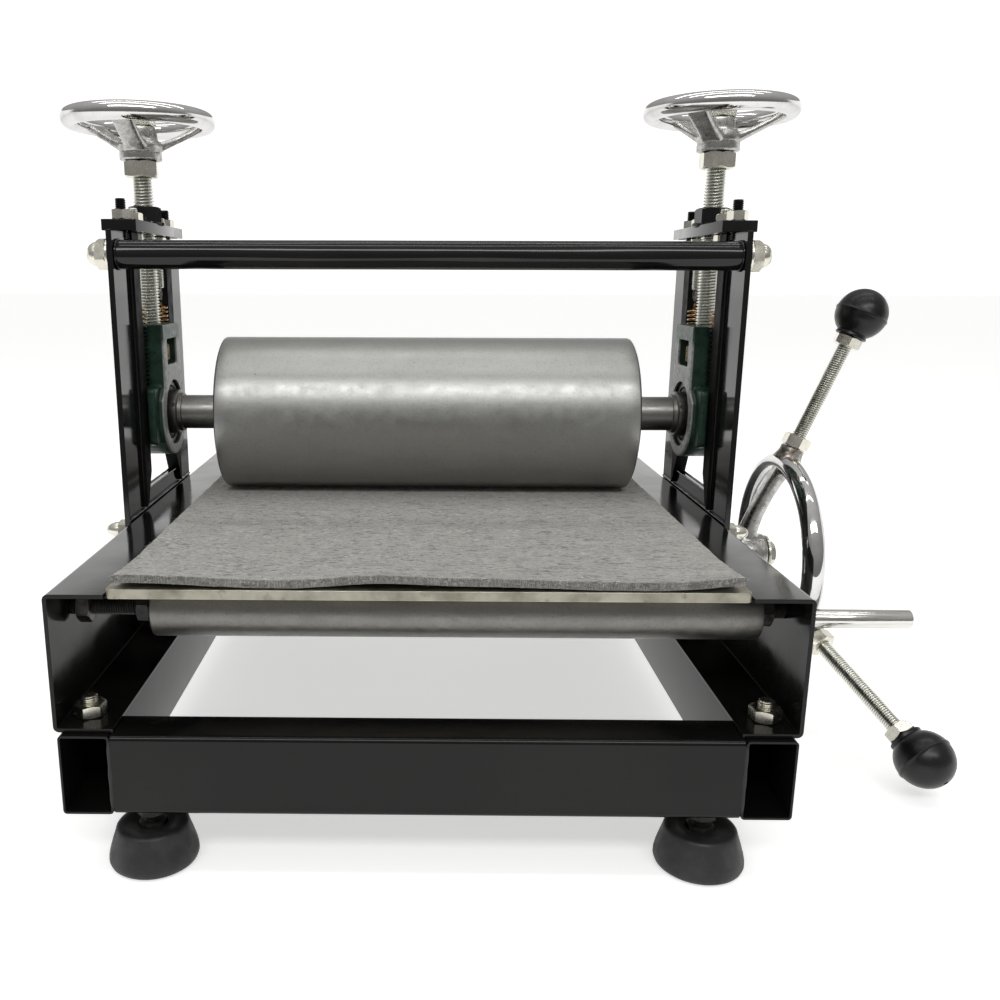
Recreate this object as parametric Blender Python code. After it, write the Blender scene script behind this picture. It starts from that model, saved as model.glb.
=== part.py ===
"""Tabletop etching press: a welded box base, two channels and two upright side frames carry a bed
plate between a driven lower roller and a screw-loaded upper roller. Lengths below are in mm."""

import math

import bpy
from mathutils import Vector

MM = 0.001
GAP = 0.3
RUN = 0.1

# Base of rectangular tube, standing on four levelling feet.
TUBE_W = 30.0
TUBE_H = 50.0
TUBE_WALL = 2.0
BASE_HALF_X = 214.0
BASE_HALF_Y = 267.0
BASE_Z = 40.0
FOOT_X = 167.0
FOOT_Y = BASE_HALF_Y - 19.0
PAD_R_LOW = 27.0
PAD_R_TOP = 20.5
PAD_H = 25.0
STUD_R = 5.0

# Bent sheet channels, webs outward.
WEB_X = 217.4
CHANNEL_H = 84.3
CHANNEL_T = 2.5
FLANGE = 34.9
CHANNEL_HALF_Y = 263.0
CHANNEL_Z = BASE_Z + TUBE_H + GAP
CHANNEL_TOP = CHANNEL_Z + CHANNEL_H
BOLT_X = 202.0
BOLT_Y = 243.0

# Side frames: plate, guide bars and sill.
FRAME_X = 220.0
FRAME_T = 4.0
FRAME_HALF_Y = 92.0
FRAME_TOP = 381.0
FRAME_LOW = 95.0
SILL_Z = 188.0
GUIDE_IN = 38.3
GUIDE_OUT = 54.0
GUIDE_T = 10.0

# Rollers.
PRESS_Z = 243.3
PRESS_R = 60.0
PRESS_HALF = 161.0
PRESS_SHAFT_R = 13.5
DRIVE_Z = 126.7
DRIVE_R = 45.0
DRIVE_HALF = 178.0
DRIVE_SHAFT_R = 12.5
SUPPORT_R = 17.5
SUPPORT_Z = 154.2
SUPPORT_Y = 223.0
SUPPORT_LOW_X = -164.5
SUPPORT_HIGH_X = 197.6
AXLE_R = 5.0

# Bed and blanket.
BED_HALF_X = 181.5
BED_HALF_Y = 263.0
BED_T = 6.0
BED_Z = DRIVE_Z + DRIVE_R + GAP
FELT_HALF_X = 178.0
FELT_BACK_Y = 240.0
FELT_T = 5.0
FELT_Z = BED_Z + BED_T + GAP

# Bearing carriages.
BODY_HALF_Y = 44.5
BODY_LOW = 222.0
BODY_HIGH = 266.0
BODY_T = 24.0
GROOVE = 6.5
GROOVE_W = 11.0
BLOCK_HALF_Y = 25.5
BLOCK_T = 32.0
BLOCK_TOP = 313.5
BLOCK_LOW = 209.0
INSERT_R = 25.7
POCKET_LOW = 282.0
POCKET_HIGH = 302.0

# Cap, pressure screw and handwheel.
CAP_T = 8.0
CAP_HALF_X = 12.5
CAP_HALF_Y = 68.0
SCREW_R = 8.0
SCREW_LOW = 291.0
WHEEL_Z_LEFT = 464.5
WHEEL_Z_RIGHT = 471.5
RIM_R = 50.75
RIM_BAR_R = 6.75
HUB_DROP = 28.5

# Return springs.
SPRING_Y = 31.9
SPRING_OD = 11.8
SPRING_WIRE = 1.6
SPRING_LOW = BODY_HIGH + 1.2
SPRING_HIGH = 327.0
SPRING_TURNS = 17
EYE_Z = 336.5

# Tie bar.
TIE_R = 10.0
TIE_Z = 364.5
TIE_Y = -80.0

# Turning wheel.
RING_X = 293.0
RING_R = 76.0
RING_BAR_R = 8.25
HUB_R = 17.0
HUB_IN = 258.0
HUB_OUT = 281.0
HANDLE_TILT = math.radians(22.3)
HANDLE_PHASE = 0.0
NUT_AT = 94.3
KNOB_AT = 195.7
KNOB_R = 20.0
KNOB_NECK = 18.7
ROD_R = 6.0
PIN_END = 364.0
PIN_R = 7.2
PIN_AT = 91.0
PIN_ANGLE = math.radians(106.7)

RIGHT_MOST = max(PIN_END, RING_X + (KNOB_AT - RING_R) * math.tan(HANDLE_TILT) + KNOB_R)
LEFT_MOST = -(FRAME_X + RIM_R + RIM_BAR_R)
CENTRE_X = 0.5 * (RIGHT_MOST + LEFT_MOST)

for old in list(bpy.data.objects):
    bpy.data.objects.remove(old, do_unlink=True)


def material(name, colour, metallic, roughness):
    mat = bpy.data.materials.new(name)
    mat.use_nodes = True
    shader = mat.node_tree.nodes["Principled BSDF"]
    shader.inputs["Base Color"].default_value = (*colour, 1.0)
    shader.inputs["Metallic"].default_value = metallic
    shader.inputs["Roughness"].default_value = roughness
    mat.diffuse_color = (*colour, 1.0)
    return mat


PAINT = material("black_paint", (0.012, 0.012, 0.013), 0.0, 0.15)
ZINC = material("zinc", (0.62, 0.61, 0.58), 1.0, 0.3)
CHROME = material("chrome", (0.75, 0.75, 0.76), 1.0, 0.08)
STEEL = material("machined_steel", (0.42, 0.42, 0.42), 1.0, 0.35)
DARK_STEEL = material("dark_steel", (0.16, 0.16, 0.17), 1.0, 0.4)
BED_STEEL = material("bed_steel", (0.45, 0.45, 0.4), 1.0, 0.35)
GREEN = material("green_casting", (0.02, 0.09, 0.05), 0.0, 0.4)
COPPER = material("copper_wire", (0.7, 0.32, 0.15), 1.0, 0.3)
RUBBER = material("rubber", (0.02, 0.02, 0.02), 0.0, 0.6)
PLASTIC = material("black_plastic", (0.01, 0.01, 0.01), 0.0, 0.2)
FELT = material("felt", (0.35, 0.35, 0.36), 0.0, 0.95)


# ---- Shapes. Each returns (points, faces) in mm.

AXES = {
    "X": (Vector((0, 1, 0)), Vector((0, 0, 1)), Vector((1, 0, 0))),
    "Y": (Vector((0, 0, 1)), Vector((1, 0, 0)), Vector((0, 1, 0))),
    "Z": (Vector((1, 0, 0)), Vector((0, 1, 0)), Vector((0, 0, 1))),
}


def placed(axis, centre, u, v, w):
    """A point u, v across and w along an axis through a centre. X takes (Y, Z), Y takes (Z, X)."""
    first, second, along = AXES[axis] if isinstance(axis, str) else axis
    return Vector(centre) + first * u + second * v + along * w


def rounded(half_u, half_v, radius, steps=3):
    loop = []
    for k, (su, sv) in enumerate(((1, 1), (-1, 1), (-1, -1), (1, -1))):
        for i in range(steps + 1):
            a = math.radians(90 * k + 90 * i / steps)
            u = su * (half_u - radius) + radius * math.cos(a)
            v = sv * (half_v - radius) + radius * math.sin(a)
            loop.append((u, v))
    return loop


def circle(radius, n, phase=0.0, at=(0.0, 0.0)):
    turn = [phase + 2 * math.pi * i / n for i in range(n)]
    return [(at[0] + radius * math.cos(a), at[1] + radius * math.sin(a)) for a in turn]


def hexagon(across_flats, phase=0.0, at=(0.0, 0.0)):
    return circle(across_flats / math.sqrt(3), 6, phase, at)


def prism(axis, centre, loop, low, high):
    n = len(loop)
    points = [placed(axis, centre, u, v, w) for w in (low, high) for u, v in loop]
    faces = [tuple(range(n - 1, -1, -1)), tuple(range(n, 2 * n))]
    faces += [(i, (i + 1) % n, n + (i + 1) % n, n + i) for i in range(n)]
    return points, faces


def ring_prism(axis, centre, outer, inner, low, high):
    n = len(outer)
    points = [placed(axis, centre, u, v, w) for w in (low, high) for u, v in outer]
    points += [placed(axis, centre, u, v, w) for w in (low, high) for u, v in inner]
    faces = []
    for i in range(n):
        j = (i + 1) % n
        faces.append((i, j, n + j, n + i))
        faces.append((2 * n + j, 2 * n + i, 3 * n + i, 3 * n + j))
        faces.append((j, i, 2 * n + i, 2 * n + j))
        faces.append((n + i, n + j, 3 * n + j, 3 * n + i))
    return points, faces


def lathe(axis, centre, profile, n, closed=False):
    """A turned solid. profile lists (radius, along); closed makes it a ring with a bore."""
    points = []
    rows = []
    for r, w in profile:
        if r == 0:
            rows.append([len(points)] * n)
            points.append(placed(axis, centre, 0, 0, w))
            continue
        rows.append(list(range(len(points), len(points) + n)))
        points += [placed(axis, centre, u, v, w) for u, v in circle(r, n)]
    faces = []
    pairs = list(zip(rows, rows[1:]))
    if closed:
        pairs.append((rows[-1], rows[0]))
    for low, high in pairs:
        for i in range(n):
            j = (i + 1) % n
            face = [low[i], low[j], high[j], high[i]]
            face = [p for k, p in enumerate(face) if p not in face[:k]]
            if len(face) > 2:
                faces.append(tuple(face))
    if not closed:
        if profile[0][0] > 0:
            faces.append(tuple(reversed(rows[0])))
        if profile[-1][0] > 0:
            faces.append(tuple(rows[-1]))
    return points, faces


def torus(axis, centre, radius, bar, n, m):
    points = []
    for i in range(n):
        a = 2 * math.pi * i / n
        for j in range(m):
            b = 2 * math.pi * j / m
            r = radius + bar * math.cos(b)
            points.append(placed(axis, centre, r * math.cos(a), r * math.sin(a), bar * math.sin(b)))
    faces = []
    for i in range(n):
        for j in range(m):
            k = (i + 1) % n
            q = (j + 1) % m
            faces.append((i * m + j, k * m + j, k * m + q, i * m + q))
    return points, faces


def pipe(path, radii, sides):
    """A round bar along a path of points, with flat ends."""
    path = [Vector(p) for p in path]
    points = []
    side = None
    for i, p in enumerate(path):
        ahead = path[min(i + 1, len(path) - 1)] - path[max(i - 1, 0)]
        ahead.normalize()
        if side is None:
            side = ahead.orthogonal().normalized()
        side = (side - ahead * side.dot(ahead)).normalized()
        other = ahead.cross(side)
        r = radii[i] if isinstance(radii, (list, tuple)) else radii
        for u, v in circle(r, sides):
            points.append(p + side * u + other * v)
    faces = [tuple(range(sides - 1, -1, -1))]
    last = len(path) - 1
    for i in range(last):
        for j in range(sides):
            q = (j + 1) % sides
            faces.append((i * sides + j, i * sides + q, (i + 1) * sides + q, (i + 1) * sides + j))
    faces.append(tuple(range(last * sides, last * sides + sides)))
    return points, faces


def frame_along(direction):
    """Axis triple for a shape that runs along any direction."""
    along = Vector(direction).normalized()
    first = Vector((0, 1, 0)).cross(along)
    if first.length < 0.01:
        first = Vector((1, 0, 0)).cross(along)
    first.normalize()
    return first, along.cross(first), along


# ---- Objects.

def outward(points, faces):
    """The faces, turned round when they point inwards."""
    volume = 0.0
    for face in faces:
        for i in range(1, len(face) - 1):
            a, b, c = (points[face[k]] for k in (0, i, i + 1))
            volume += Vector(a).dot(Vector(b).cross(Vector(c)))
    return faces if volume > 0 else [tuple(reversed(face)) for face in faces]


def raw(name, shape, pivot=(0, 0, 0)):
    points, faces = shape
    faces = outward(points, faces)
    mesh = bpy.data.meshes.new(name)
    origin = Vector(pivot)
    mesh.from_pydata([(Vector(p) - origin) * MM for p in points], [], faces)
    mesh.validate()
    obj = bpy.data.objects.new(name, mesh)
    bpy.context.scene.collection.objects.link(obj)
    obj.location = (origin - Vector((CENTRE_X, 0, 0))) * MM
    return obj


def build(name, mat, shape, *steps, pivot=(0, 0, 0), smooth=32):
    """One named sub-part: a first shape, then ('UNION' or 'DIFFERENCE', shape) steps."""
    obj = raw(name, shape, pivot)
    tools = []
    for kind, other in steps:
        tool = raw(name + "_tool", other, pivot)
        tool.hide_render = True
        tool.display_type = "WIRE"
        cut = obj.modifiers.new(kind.lower(), "BOOLEAN")
        cut.operation = kind
        cut.solver = "EXACT"
        cut.object = tool
        tools.append(tool)
    if tools:
        bpy.context.view_layer.update()
        graph = bpy.context.evaluated_depsgraph_get()
        solid = bpy.data.meshes.new_from_object(obj.evaluated_get(graph))
        obj.modifiers.clear()
        obj.data = solid
        solid.name = name
        for tool in tools:
            bpy.data.objects.remove(tool, do_unlink=True)
    obj.data.materials.clear()
    obj.data.materials.append(mat)
    obj.data.shade_smooth()
    obj.data.set_sharp_from_angle(angle=math.radians(smooth))
    return obj


def add(shape):
    return ("UNION", shape)


def cut(shape):
    return ("DIFFERENCE", shape)


def bar(axis, centre, radius, low, high, n=24):
    return lathe(axis, centre, [(radius, low), (radius, high)], n)


def hex_nut(axis, centre, across_flats, low, high, phase=0.0):
    return prism(axis, centre, hexagon(across_flats, phase), low, high)


SIDES = (("left", -1), ("right", 1))
ENDS = (("front", -1), ("rear", 1))


# Base frame: side tubes with open ends, cross tubes let in between them, feet and bolts.
for side, s in SIDES:
    x = s * (BASE_HALF_X - TUBE_W / 2)
    z = BASE_Z + TUBE_H / 2
    outer = rounded(TUBE_H / 2, TUBE_W / 2, 3.0)
    inner = rounded(TUBE_H / 2 - TUBE_WALL, TUBE_W / 2 - TUBE_WALL, 1.2)
    tube = ring_prism("Y", (x, 0, z), outer, inner, -BASE_HALF_Y, BASE_HALF_Y)
    holes = []
    for end, e in ENDS:
        at = (s * BOLT_X, e * BOLT_Y, 0)
        holes.append(cut(bar("Z", at, STUD_R + GAP, z + 15, z + 30, 12)))
    build("base_tube_" + side, PAINT, tube, *holes)

for end, e in ENDS:
    y = e * (BASE_HALF_Y - TUBE_W / 2)
    z = BASE_Z + TUBE_H / 2
    outer = rounded(TUBE_W / 2, TUBE_H / 2, 3.0)
    inner = rounded(TUBE_W / 2 - TUBE_WALL, TUBE_H / 2 - TUBE_WALL, 1.2)
    half = BASE_HALF_X - TUBE_W - GAP
    tube = ring_prism("X", (0, y, z), outer, inner, -half, half)
    holes = []
    for side, s in SIDES:
        at = (s * FOOT_X, e * FOOT_Y, 0)
        holes.append(cut(bar("Z", at, STUD_R + GAP, BASE_Z - 10, BASE_Z + 10, 12)))
    build("base_cross_" + end, PAINT, tube, *holes)

for side, s in SIDES:
    for end, e in ENDS:
        at = (s * FOOT_X, e * FOOT_Y, 0)
        cone = [
            (PAD_R_LOW - 2.0, 0),
            (PAD_R_LOW, 2.0),
            (PAD_R_LOW - 0.8, 9.0),
            (PAD_R_TOP + 1.0, PAD_H - 1.0),
            (PAD_R_TOP, PAD_H),
            (STUD_R + 0.5, PAD_H),
            (STUD_R + 0.5, 14.0),
            (0, 14.0),
        ]
        cone.insert(0, (0, 0))
        build("foot_pad_" + end + "_" + side, RUBBER, lathe("Z", at, cone, 20), pivot=at)
        stud = bar("Z", at, STUD_R, 14.0 + GAP, BASE_Z + 12, 12)
        nut = hex_nut("Z", at, 17.0, BASE_Z - 8.3, BASE_Z - GAP)
        build("foot_stud_" + end + "_" + side, ZINC, stud, add(nut), pivot=at)

        at = (s * BOLT_X, e * BOLT_Y, 0)
        low = BASE_Z + TUBE_H - TUBE_WALL - GAP
        seat = CHANNEL_Z + CHANNEL_T + GAP
        shank = bar("Z", at, STUD_R, low - 3, seat + 12.5, 12)
        head = hex_nut("Z", at, 17.0, low - 6.4, low, math.pi / 6)
        washer = bar("Z", at, 10.5, seat, seat + 1.6, 14)
        nut = hex_nut("Z", at, 17.0, seat + 1.0, seat + 9.6)
        name = "base_bolt_" + end + "_" + side
        build(name, ZINC, shank, add(head), add(washer), add(nut), pivot=at)


# Channels: bent sheet, web outward, open ends.
def channel_loop(s):
    """Section in (Z, X), bends rounded."""
    t = CHANNEL_T
    outer_r = 3.5
    inner_r = outer_r - t
    web = WEB_X
    tip = WEB_X - FLANGE
    low = CHANNEL_Z
    top = CHANNEL_TOP
    loop = [(low, tip)]
    for i in range(4):
        a = math.radians(30 * i)
        loop.append((low + outer_r * (1 - math.cos(a)), web - outer_r * (1 - math.sin(a))))
    for i in range(4):
        a = math.radians(30 * i)
        loop.append((top - outer_r * (1 - math.sin(a)), web - outer_r * (1 - math.cos(a))))
    loop.append((top, tip))
    loop.append((top - t, tip))
    for i in range(4):
        a = math.radians(90 - 30 * i)
        z = top - outer_r + inner_r * math.sin(a)
        loop.append((z, web - outer_r + inner_r * math.cos(a)))
    for i in range(4):
        a = math.radians(30 * i)
        z = low + outer_r - inner_r * math.sin(a)
        loop.append((z, web - outer_r + inner_r * math.cos(a)))
    loop.append((low + t, tip))
    return [(z, s * x) for z, x in loop]


for side, s in SIDES:
    sheet = prism("Y", (0, 0, 0), channel_loop(s), -CHANNEL_HALF_Y, CHANNEL_HALF_Y)
    x = s * WEB_X
    shaft_hole = bar("X", (x, 0, DRIVE_Z), DRIVE_SHAFT_R + 1.0, -8, 8, 24)
    holes = [cut(shaft_hole)]
    for end, e in ENDS:
        holes.append(cut(bar("Z", (s * BOLT_X, e * BOLT_Y, 0), STUD_R + GAP, 85, 100, 12)))
        holes.append(cut(bar("X", (x, e * SUPPORT_Y, SUPPORT_Z), AXLE_R + GAP, -8, 8, 12)))
        holes.append(cut(bar("X", (x, e * -TIE_Y, 165.0), 4 + GAP, -8, 8, 10)))
    build("channel_" + side, PAINT, sheet, *holes)


# Side frames: a plate open at the top, with two guide bars welded down its window.
for side, s in SIDES:
    low = -FRAME_T / 2
    high = FRAME_T / 2
    middle = (s * FRAME_X, 0, 0)
    edge = GUIDE_OUT - 4
    outline = [
        (-FRAME_HALF_Y, FRAME_LOW),
        (FRAME_HALF_Y, FRAME_LOW),
        (FRAME_HALF_Y, FRAME_TOP),
        (edge, FRAME_TOP),
        (edge, SILL_Z),
        (-edge, SILL_Z),
        (-edge, FRAME_TOP),
        (-FRAME_HALF_Y, FRAME_TOP),
    ]
    plate = prism("X", middle, outline, low, high)
    steps = []
    for end, e in ENDS:
        guide = [
            (e * GUIDE_IN, SILL_Z + 14),
            (e * GUIDE_IN, FRAME_TOP),
            (e * GUIDE_OUT, FRAME_TOP),
            (e * GUIDE_OUT, SILL_Z - 12),
            (e * (GUIDE_OUT - 5), SILL_Z - 8),
            (e * (GUIDE_IN + 7), SILL_Z + 1),
        ]
        if e < 0:
            guide.reverse()
        steps.append(add(prism("X", middle, guide, -GUIDE_T / 2, GUIDE_T / 2)))
    steps.append(cut(bar("X", (s * FRAME_X, 0, DRIVE_Z), DRIVE_SHAFT_R + 1.0, -9, 9, 24)))
    steps.append(cut(bar("X", (s * FRAME_X, TIE_Y, TIE_Z), 6.3, -9, 9, 16)))
    for end, e in ENDS:
        steps.append(cut(bar("X", (s * FRAME_X, e * -TIE_Y, 165.0), 4 + GAP, -9, 9, 10)))
    build("side_frame_" + side, PAINT, plate, *steps)


def dome_bolt(name, s, y, z, across_flats, stem_r, stem_to, n=10):
    """Washer, dome nut and threaded stem; the stem points inboard through the side plate."""
    face = FRAME_T / 2 + GAP
    half = across_flats / 2
    at = (s * FRAME_X, y, z)
    axis = AXES["X"] if s > 0 else tuple(-v for v in AXES["X"])
    body = [
        (0, stem_to),
        (stem_r, stem_to),
        (stem_r, face),
        (half * 1.22, face),
        (half * 1.22, face + 1.8),
        (half * 0.92, face + 1.8),
        (half * 0.92, face + 8.0),
        (half * 0.76, face + 13.0),
        (half * 0.36, face + 16.6),
        (0, face + 17.4),
    ]
    nut = prism(axis, at, hexagon(across_flats, math.radians(20)), face + 1.8, face + 8.6)
    build(name, ZINC, lathe(axis, at, body, n), add(nut), pivot=at)


for side, s in SIDES:
    dome_bolt("tie_bar_nut_" + side, s, TIE_Y, TIE_Z, 19.0, 6.0, -FRAME_T / 2 + 0.5, 16)
    for end, e in ENDS:
        dome_bolt("frame_bolt_" + end + "_" + side, s, e * -TIE_Y, 165.0, 13.0, 4.0, -9.0)

half = FRAME_X - FRAME_T / 2 - GAP
bevelled = [(TIE_R - 0.5, -half), (TIE_R, -half + 0.5), (TIE_R, half - 0.5), (TIE_R - 0.5, half)]
build("tie_bar", PAINT, lathe("X", (0, TIE_Y, TIE_Z), bevelled, 20), pivot=(0, TIE_Y, TIE_Z))


# Caps: cross plate with the screw nut, stud bolts and the eyebolts that hold the springs.
for side, s in SIDES:
    x = s * FRAME_X
    low = FRAME_TOP + GAP
    top = low + CAP_T
    plate = prism("Z", (x, 0, 0), rounded(CAP_HALF_X, CAP_HALF_Y, 0.8, 1), low, top)
    steps = [add(hex_nut("Z", (x, 0, 0), 24.0, top - 0.5, top + 13))]
    for end, e in ENDS:
        stud_at = (x, e * 60.0, 0)
        steps.append(add(bar("Z", stud_at, 4.0, top - 1, top + 14.5, 10)))
        steps.append(add(hex_nut("Z", stud_at, 13.0, top - 0.5, top + 7, 0.2)))
        eye_at = (x, e * SPRING_Y, 0)
        steps.append(add(bar("Z", eye_at, 4.0, EYE_Z + 4.0, top + 9.5, 8)))
        steps.append(add(hex_nut("Z", eye_at, 13.0, top - 0.5, top + 6.5, 0.5)))
        eye = torus("X", (x, e * SPRING_Y, EYE_Z), 4.4, 1.5, 10, 5)
        steps.append(add(eye))
    steps.append(cut(bar("Z", (x, 0, 0), SCREW_R + RUN, low - 5, top + 20, 28)))
    build("cap_" + side, PAINT, plate, *steps)


# Bearing carriages: grooved cast housings with a pocket for the screw end, and round inserts.
for side, s in SIDES:
    x = s * FRAME_X
    centre = (x, 0, 0)
    lip = [
        (-BODY_HALF_Y, BODY_LOW + 3),
        (-BODY_HALF_Y + 3, BODY_LOW),
        (BODY_HALF_Y - 3, BODY_LOW),
        (BODY_HALF_Y, BODY_LOW + 3),
        (BODY_HALF_Y, BODY_HIGH),
        (-BODY_HALF_Y, BODY_HIGH),
    ]
    body = prism("X", centre, lip, -BODY_T / 2, BODY_T / 2)
    steps = []
    arc = []
    for i in range(13):
        a = math.radians(180 + 15 * i)
        r = PRESS_Z - BLOCK_LOW
        arc.append((r * math.cos(a), PRESS_Z + r * math.sin(a)))
    boss = [(BLOCK_HALF_Y, BLOCK_TOP), (-BLOCK_HALF_Y, BLOCK_TOP), (-BLOCK_HALF_Y, BODY_HIGH - 2)]
    boss += [(-PRESS_Z + BLOCK_LOW, 256.0)] + arc + [(PRESS_Z - BLOCK_LOW, 256.0)]
    boss += [(BLOCK_HALF_Y, BODY_HIGH - 2)]
    steps.append(add(prism("X", centre, boss, -BLOCK_T / 2, BLOCK_T / 2)))
    for end, e in ENDS:
        groove = rounded(GROOVE + 0.2, 60.0, 0.01, 1)
        at = (x, e * (BODY_HALF_Y + 0.2), PRESS_Z)
        steps.append(cut(prism("X", at, groove, -GROOVE_W / 2, GROOVE_W / 2)))
    steps.append(cut(bar("X", (x, 0, PRESS_Z), INSERT_R + GAP, -30, 30, 32)))
    pocket = rounded(15.0, (POCKET_HIGH - POCKET_LOW) / 2, 2.0, 2)
    mid = (x, 0, (POCKET_HIGH + POCKET_LOW) / 2)
    steps.append(cut(prism("X", mid, pocket, -30, 30)))
    steps.append(cut(bar("Z", centre, SCREW_R + 0.4, POCKET_HIGH - 4, BLOCK_TOP + 10, 24)))
    build("bearing_housing_" + side, GREEN, body, *steps, pivot=(x, 0, PRESS_Z))

    inboard = AXES["X"] if s < 0 else tuple(-v for v in AXES["X"])
    bore = PRESS_SHAFT_R + RUN
    profile = [
        (bore, -14.0),
        (INSERT_R, -14.0),
        (INSERT_R, 13.0),
        (INSERT_R - 1.5, 14.0),
        (18.5, 14.5),
        (18.0, 24.0),
        (bore, 24.0),
    ]
    ring = lathe(inboard, (x, 0, PRESS_Z), profile, 32, closed=True)
    build("bearing_insert_" + side, DARK_STEEL, ring, pivot=(x, 0, PRESS_Z))


# Upper roller on its shaft.
shaft_end = FRAME_X + 8.0
profile = [(0, -shaft_end), (PRESS_SHAFT_R, -shaft_end)]
profile += [(PRESS_SHAFT_R, -PRESS_HALF), (PRESS_R - 1.2, -PRESS_HALF)]
profile += [(PRESS_R, -PRESS_HALF + 1.2)]
profile += [(r, -w) for r, w in reversed(profile)]
shape = lathe("X", (0, 0, PRESS_Z), profile, 40)
build("upper_roller", STEEL, shape, pivot=(0, 0, PRESS_Z))


# Lower drive roller, its bearings and the support rollers.
wheel_end = HUB_OUT + GAP
profile = [(0, -242.0), (DRIVE_SHAFT_R, -242.0), (DRIVE_SHAFT_R, -DRIVE_HALF)]
profile += [(DRIVE_R, -DRIVE_HALF), (DRIVE_R, DRIVE_HALF), (DRIVE_SHAFT_R, DRIVE_HALF)]
profile += [(DRIVE_SHAFT_R, wheel_end + 0.4), (15.0, wheel_end + 0.4), (15.0, wheel_end + 2.4)]
profile += [(0, wheel_end + 2.4)]
shape = lathe("X", (0, 0, DRIVE_Z), profile, 32)
head = hex_nut("X", (0, 0, DRIVE_Z), 17.0, wheel_end + 2.0, wheel_end + 8.5, 0.3)
build("drive_roller", STEEL, shape, add(head), pivot=(0, 0, DRIVE_Z))

for side, s in SIDES:
    axis = AXES["X"] if s > 0 else tuple(-v for v in AXES["X"])
    at = (s * (FRAME_X + FRAME_T / 2 + GAP), 0, DRIVE_Z)
    outline = []
    for i in range(5):
        a = math.radians(-40 + 20 * i)
        outline.append((45.0 + 13.0 * math.cos(a), 13.0 * math.sin(a)))
    for i in range(7):
        a = math.radians(60 + 10 * i)
        outline.append((33.0 * math.cos(a), 33.0 * math.sin(a)))
    outline += [(-u, -v) for u, v in outline]
    flange = prism(axis, at, outline, 0, 6.0)
    steps = [add(lathe(axis, at, [(30.0, 3.0), (28.0, 14.0), (20.0, 16.0)], 20))]
    for e in (-1, 1):
        seat = (at[0], e * 45.0, DRIVE_Z)
        steps.append(add(hex_nut(axis, seat, 15.0, 5.0, 12.5, 0.4)))
    bore = bar("X", (at[0], 0, DRIVE_Z), DRIVE_SHAFT_R + RUN, -40, 40, 32)
    steps.append(cut(bore))
    build("drive_bearing_" + side, DARK_STEEL, flange, *steps, pivot=at)

for end, e in ENDS:
    at = (0, e * SUPPORT_Y, SUPPORT_Z)
    low = SUPPORT_LOW_X
    high = SUPPORT_HIGH_X
    profile = [
        (AXLE_R + RUN, low),
        (SUPPORT_R - 0.8, low),
        (SUPPORT_R, low + 0.8),
        (SUPPORT_R, high - 0.8),
        (SUPPORT_R - 0.8, high),
        (AXLE_R + RUN, high),
    ]
    tube = lathe("X", at, profile, 24, closed=True)
    build("support_roller_" + end, DARK_STEEL, tube, pivot=at)
    rod = bar("X", at, AXLE_R - 0.01, -WEB_X + 0.4, WEB_X - 0.4, 16)
    nuts = [(-211.0, -202.5), (-174.6, -166.6), (198.6, 206.6)]
    steps = [add(hex_nut("X", at, 17.0, a, b, 0.3)) for a, b in nuts]
    build("support_axle_" + end, DARK_STEEL, rod, *steps, pivot=at)


# Bed plate and felt blanket.
bed = prism("Z", (0, 0, 0), rounded(BED_HALF_X, BED_HALF_Y, 1.0, 1), BED_Z, BED_Z + BED_T)
build("bed_plate", BED_STEEL, bed)
mid = (FELT_BACK_Y - BED_HALF_Y) / 2
half = (FELT_BACK_Y + BED_HALF_Y) / 2
felt = prism("Z", (0, mid, 0), rounded(FELT_HALF_X, half, 3.0, 2), FELT_Z, FELT_Z + FELT_T - GAP)
build("felt_blanket", FELT, felt)


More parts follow.
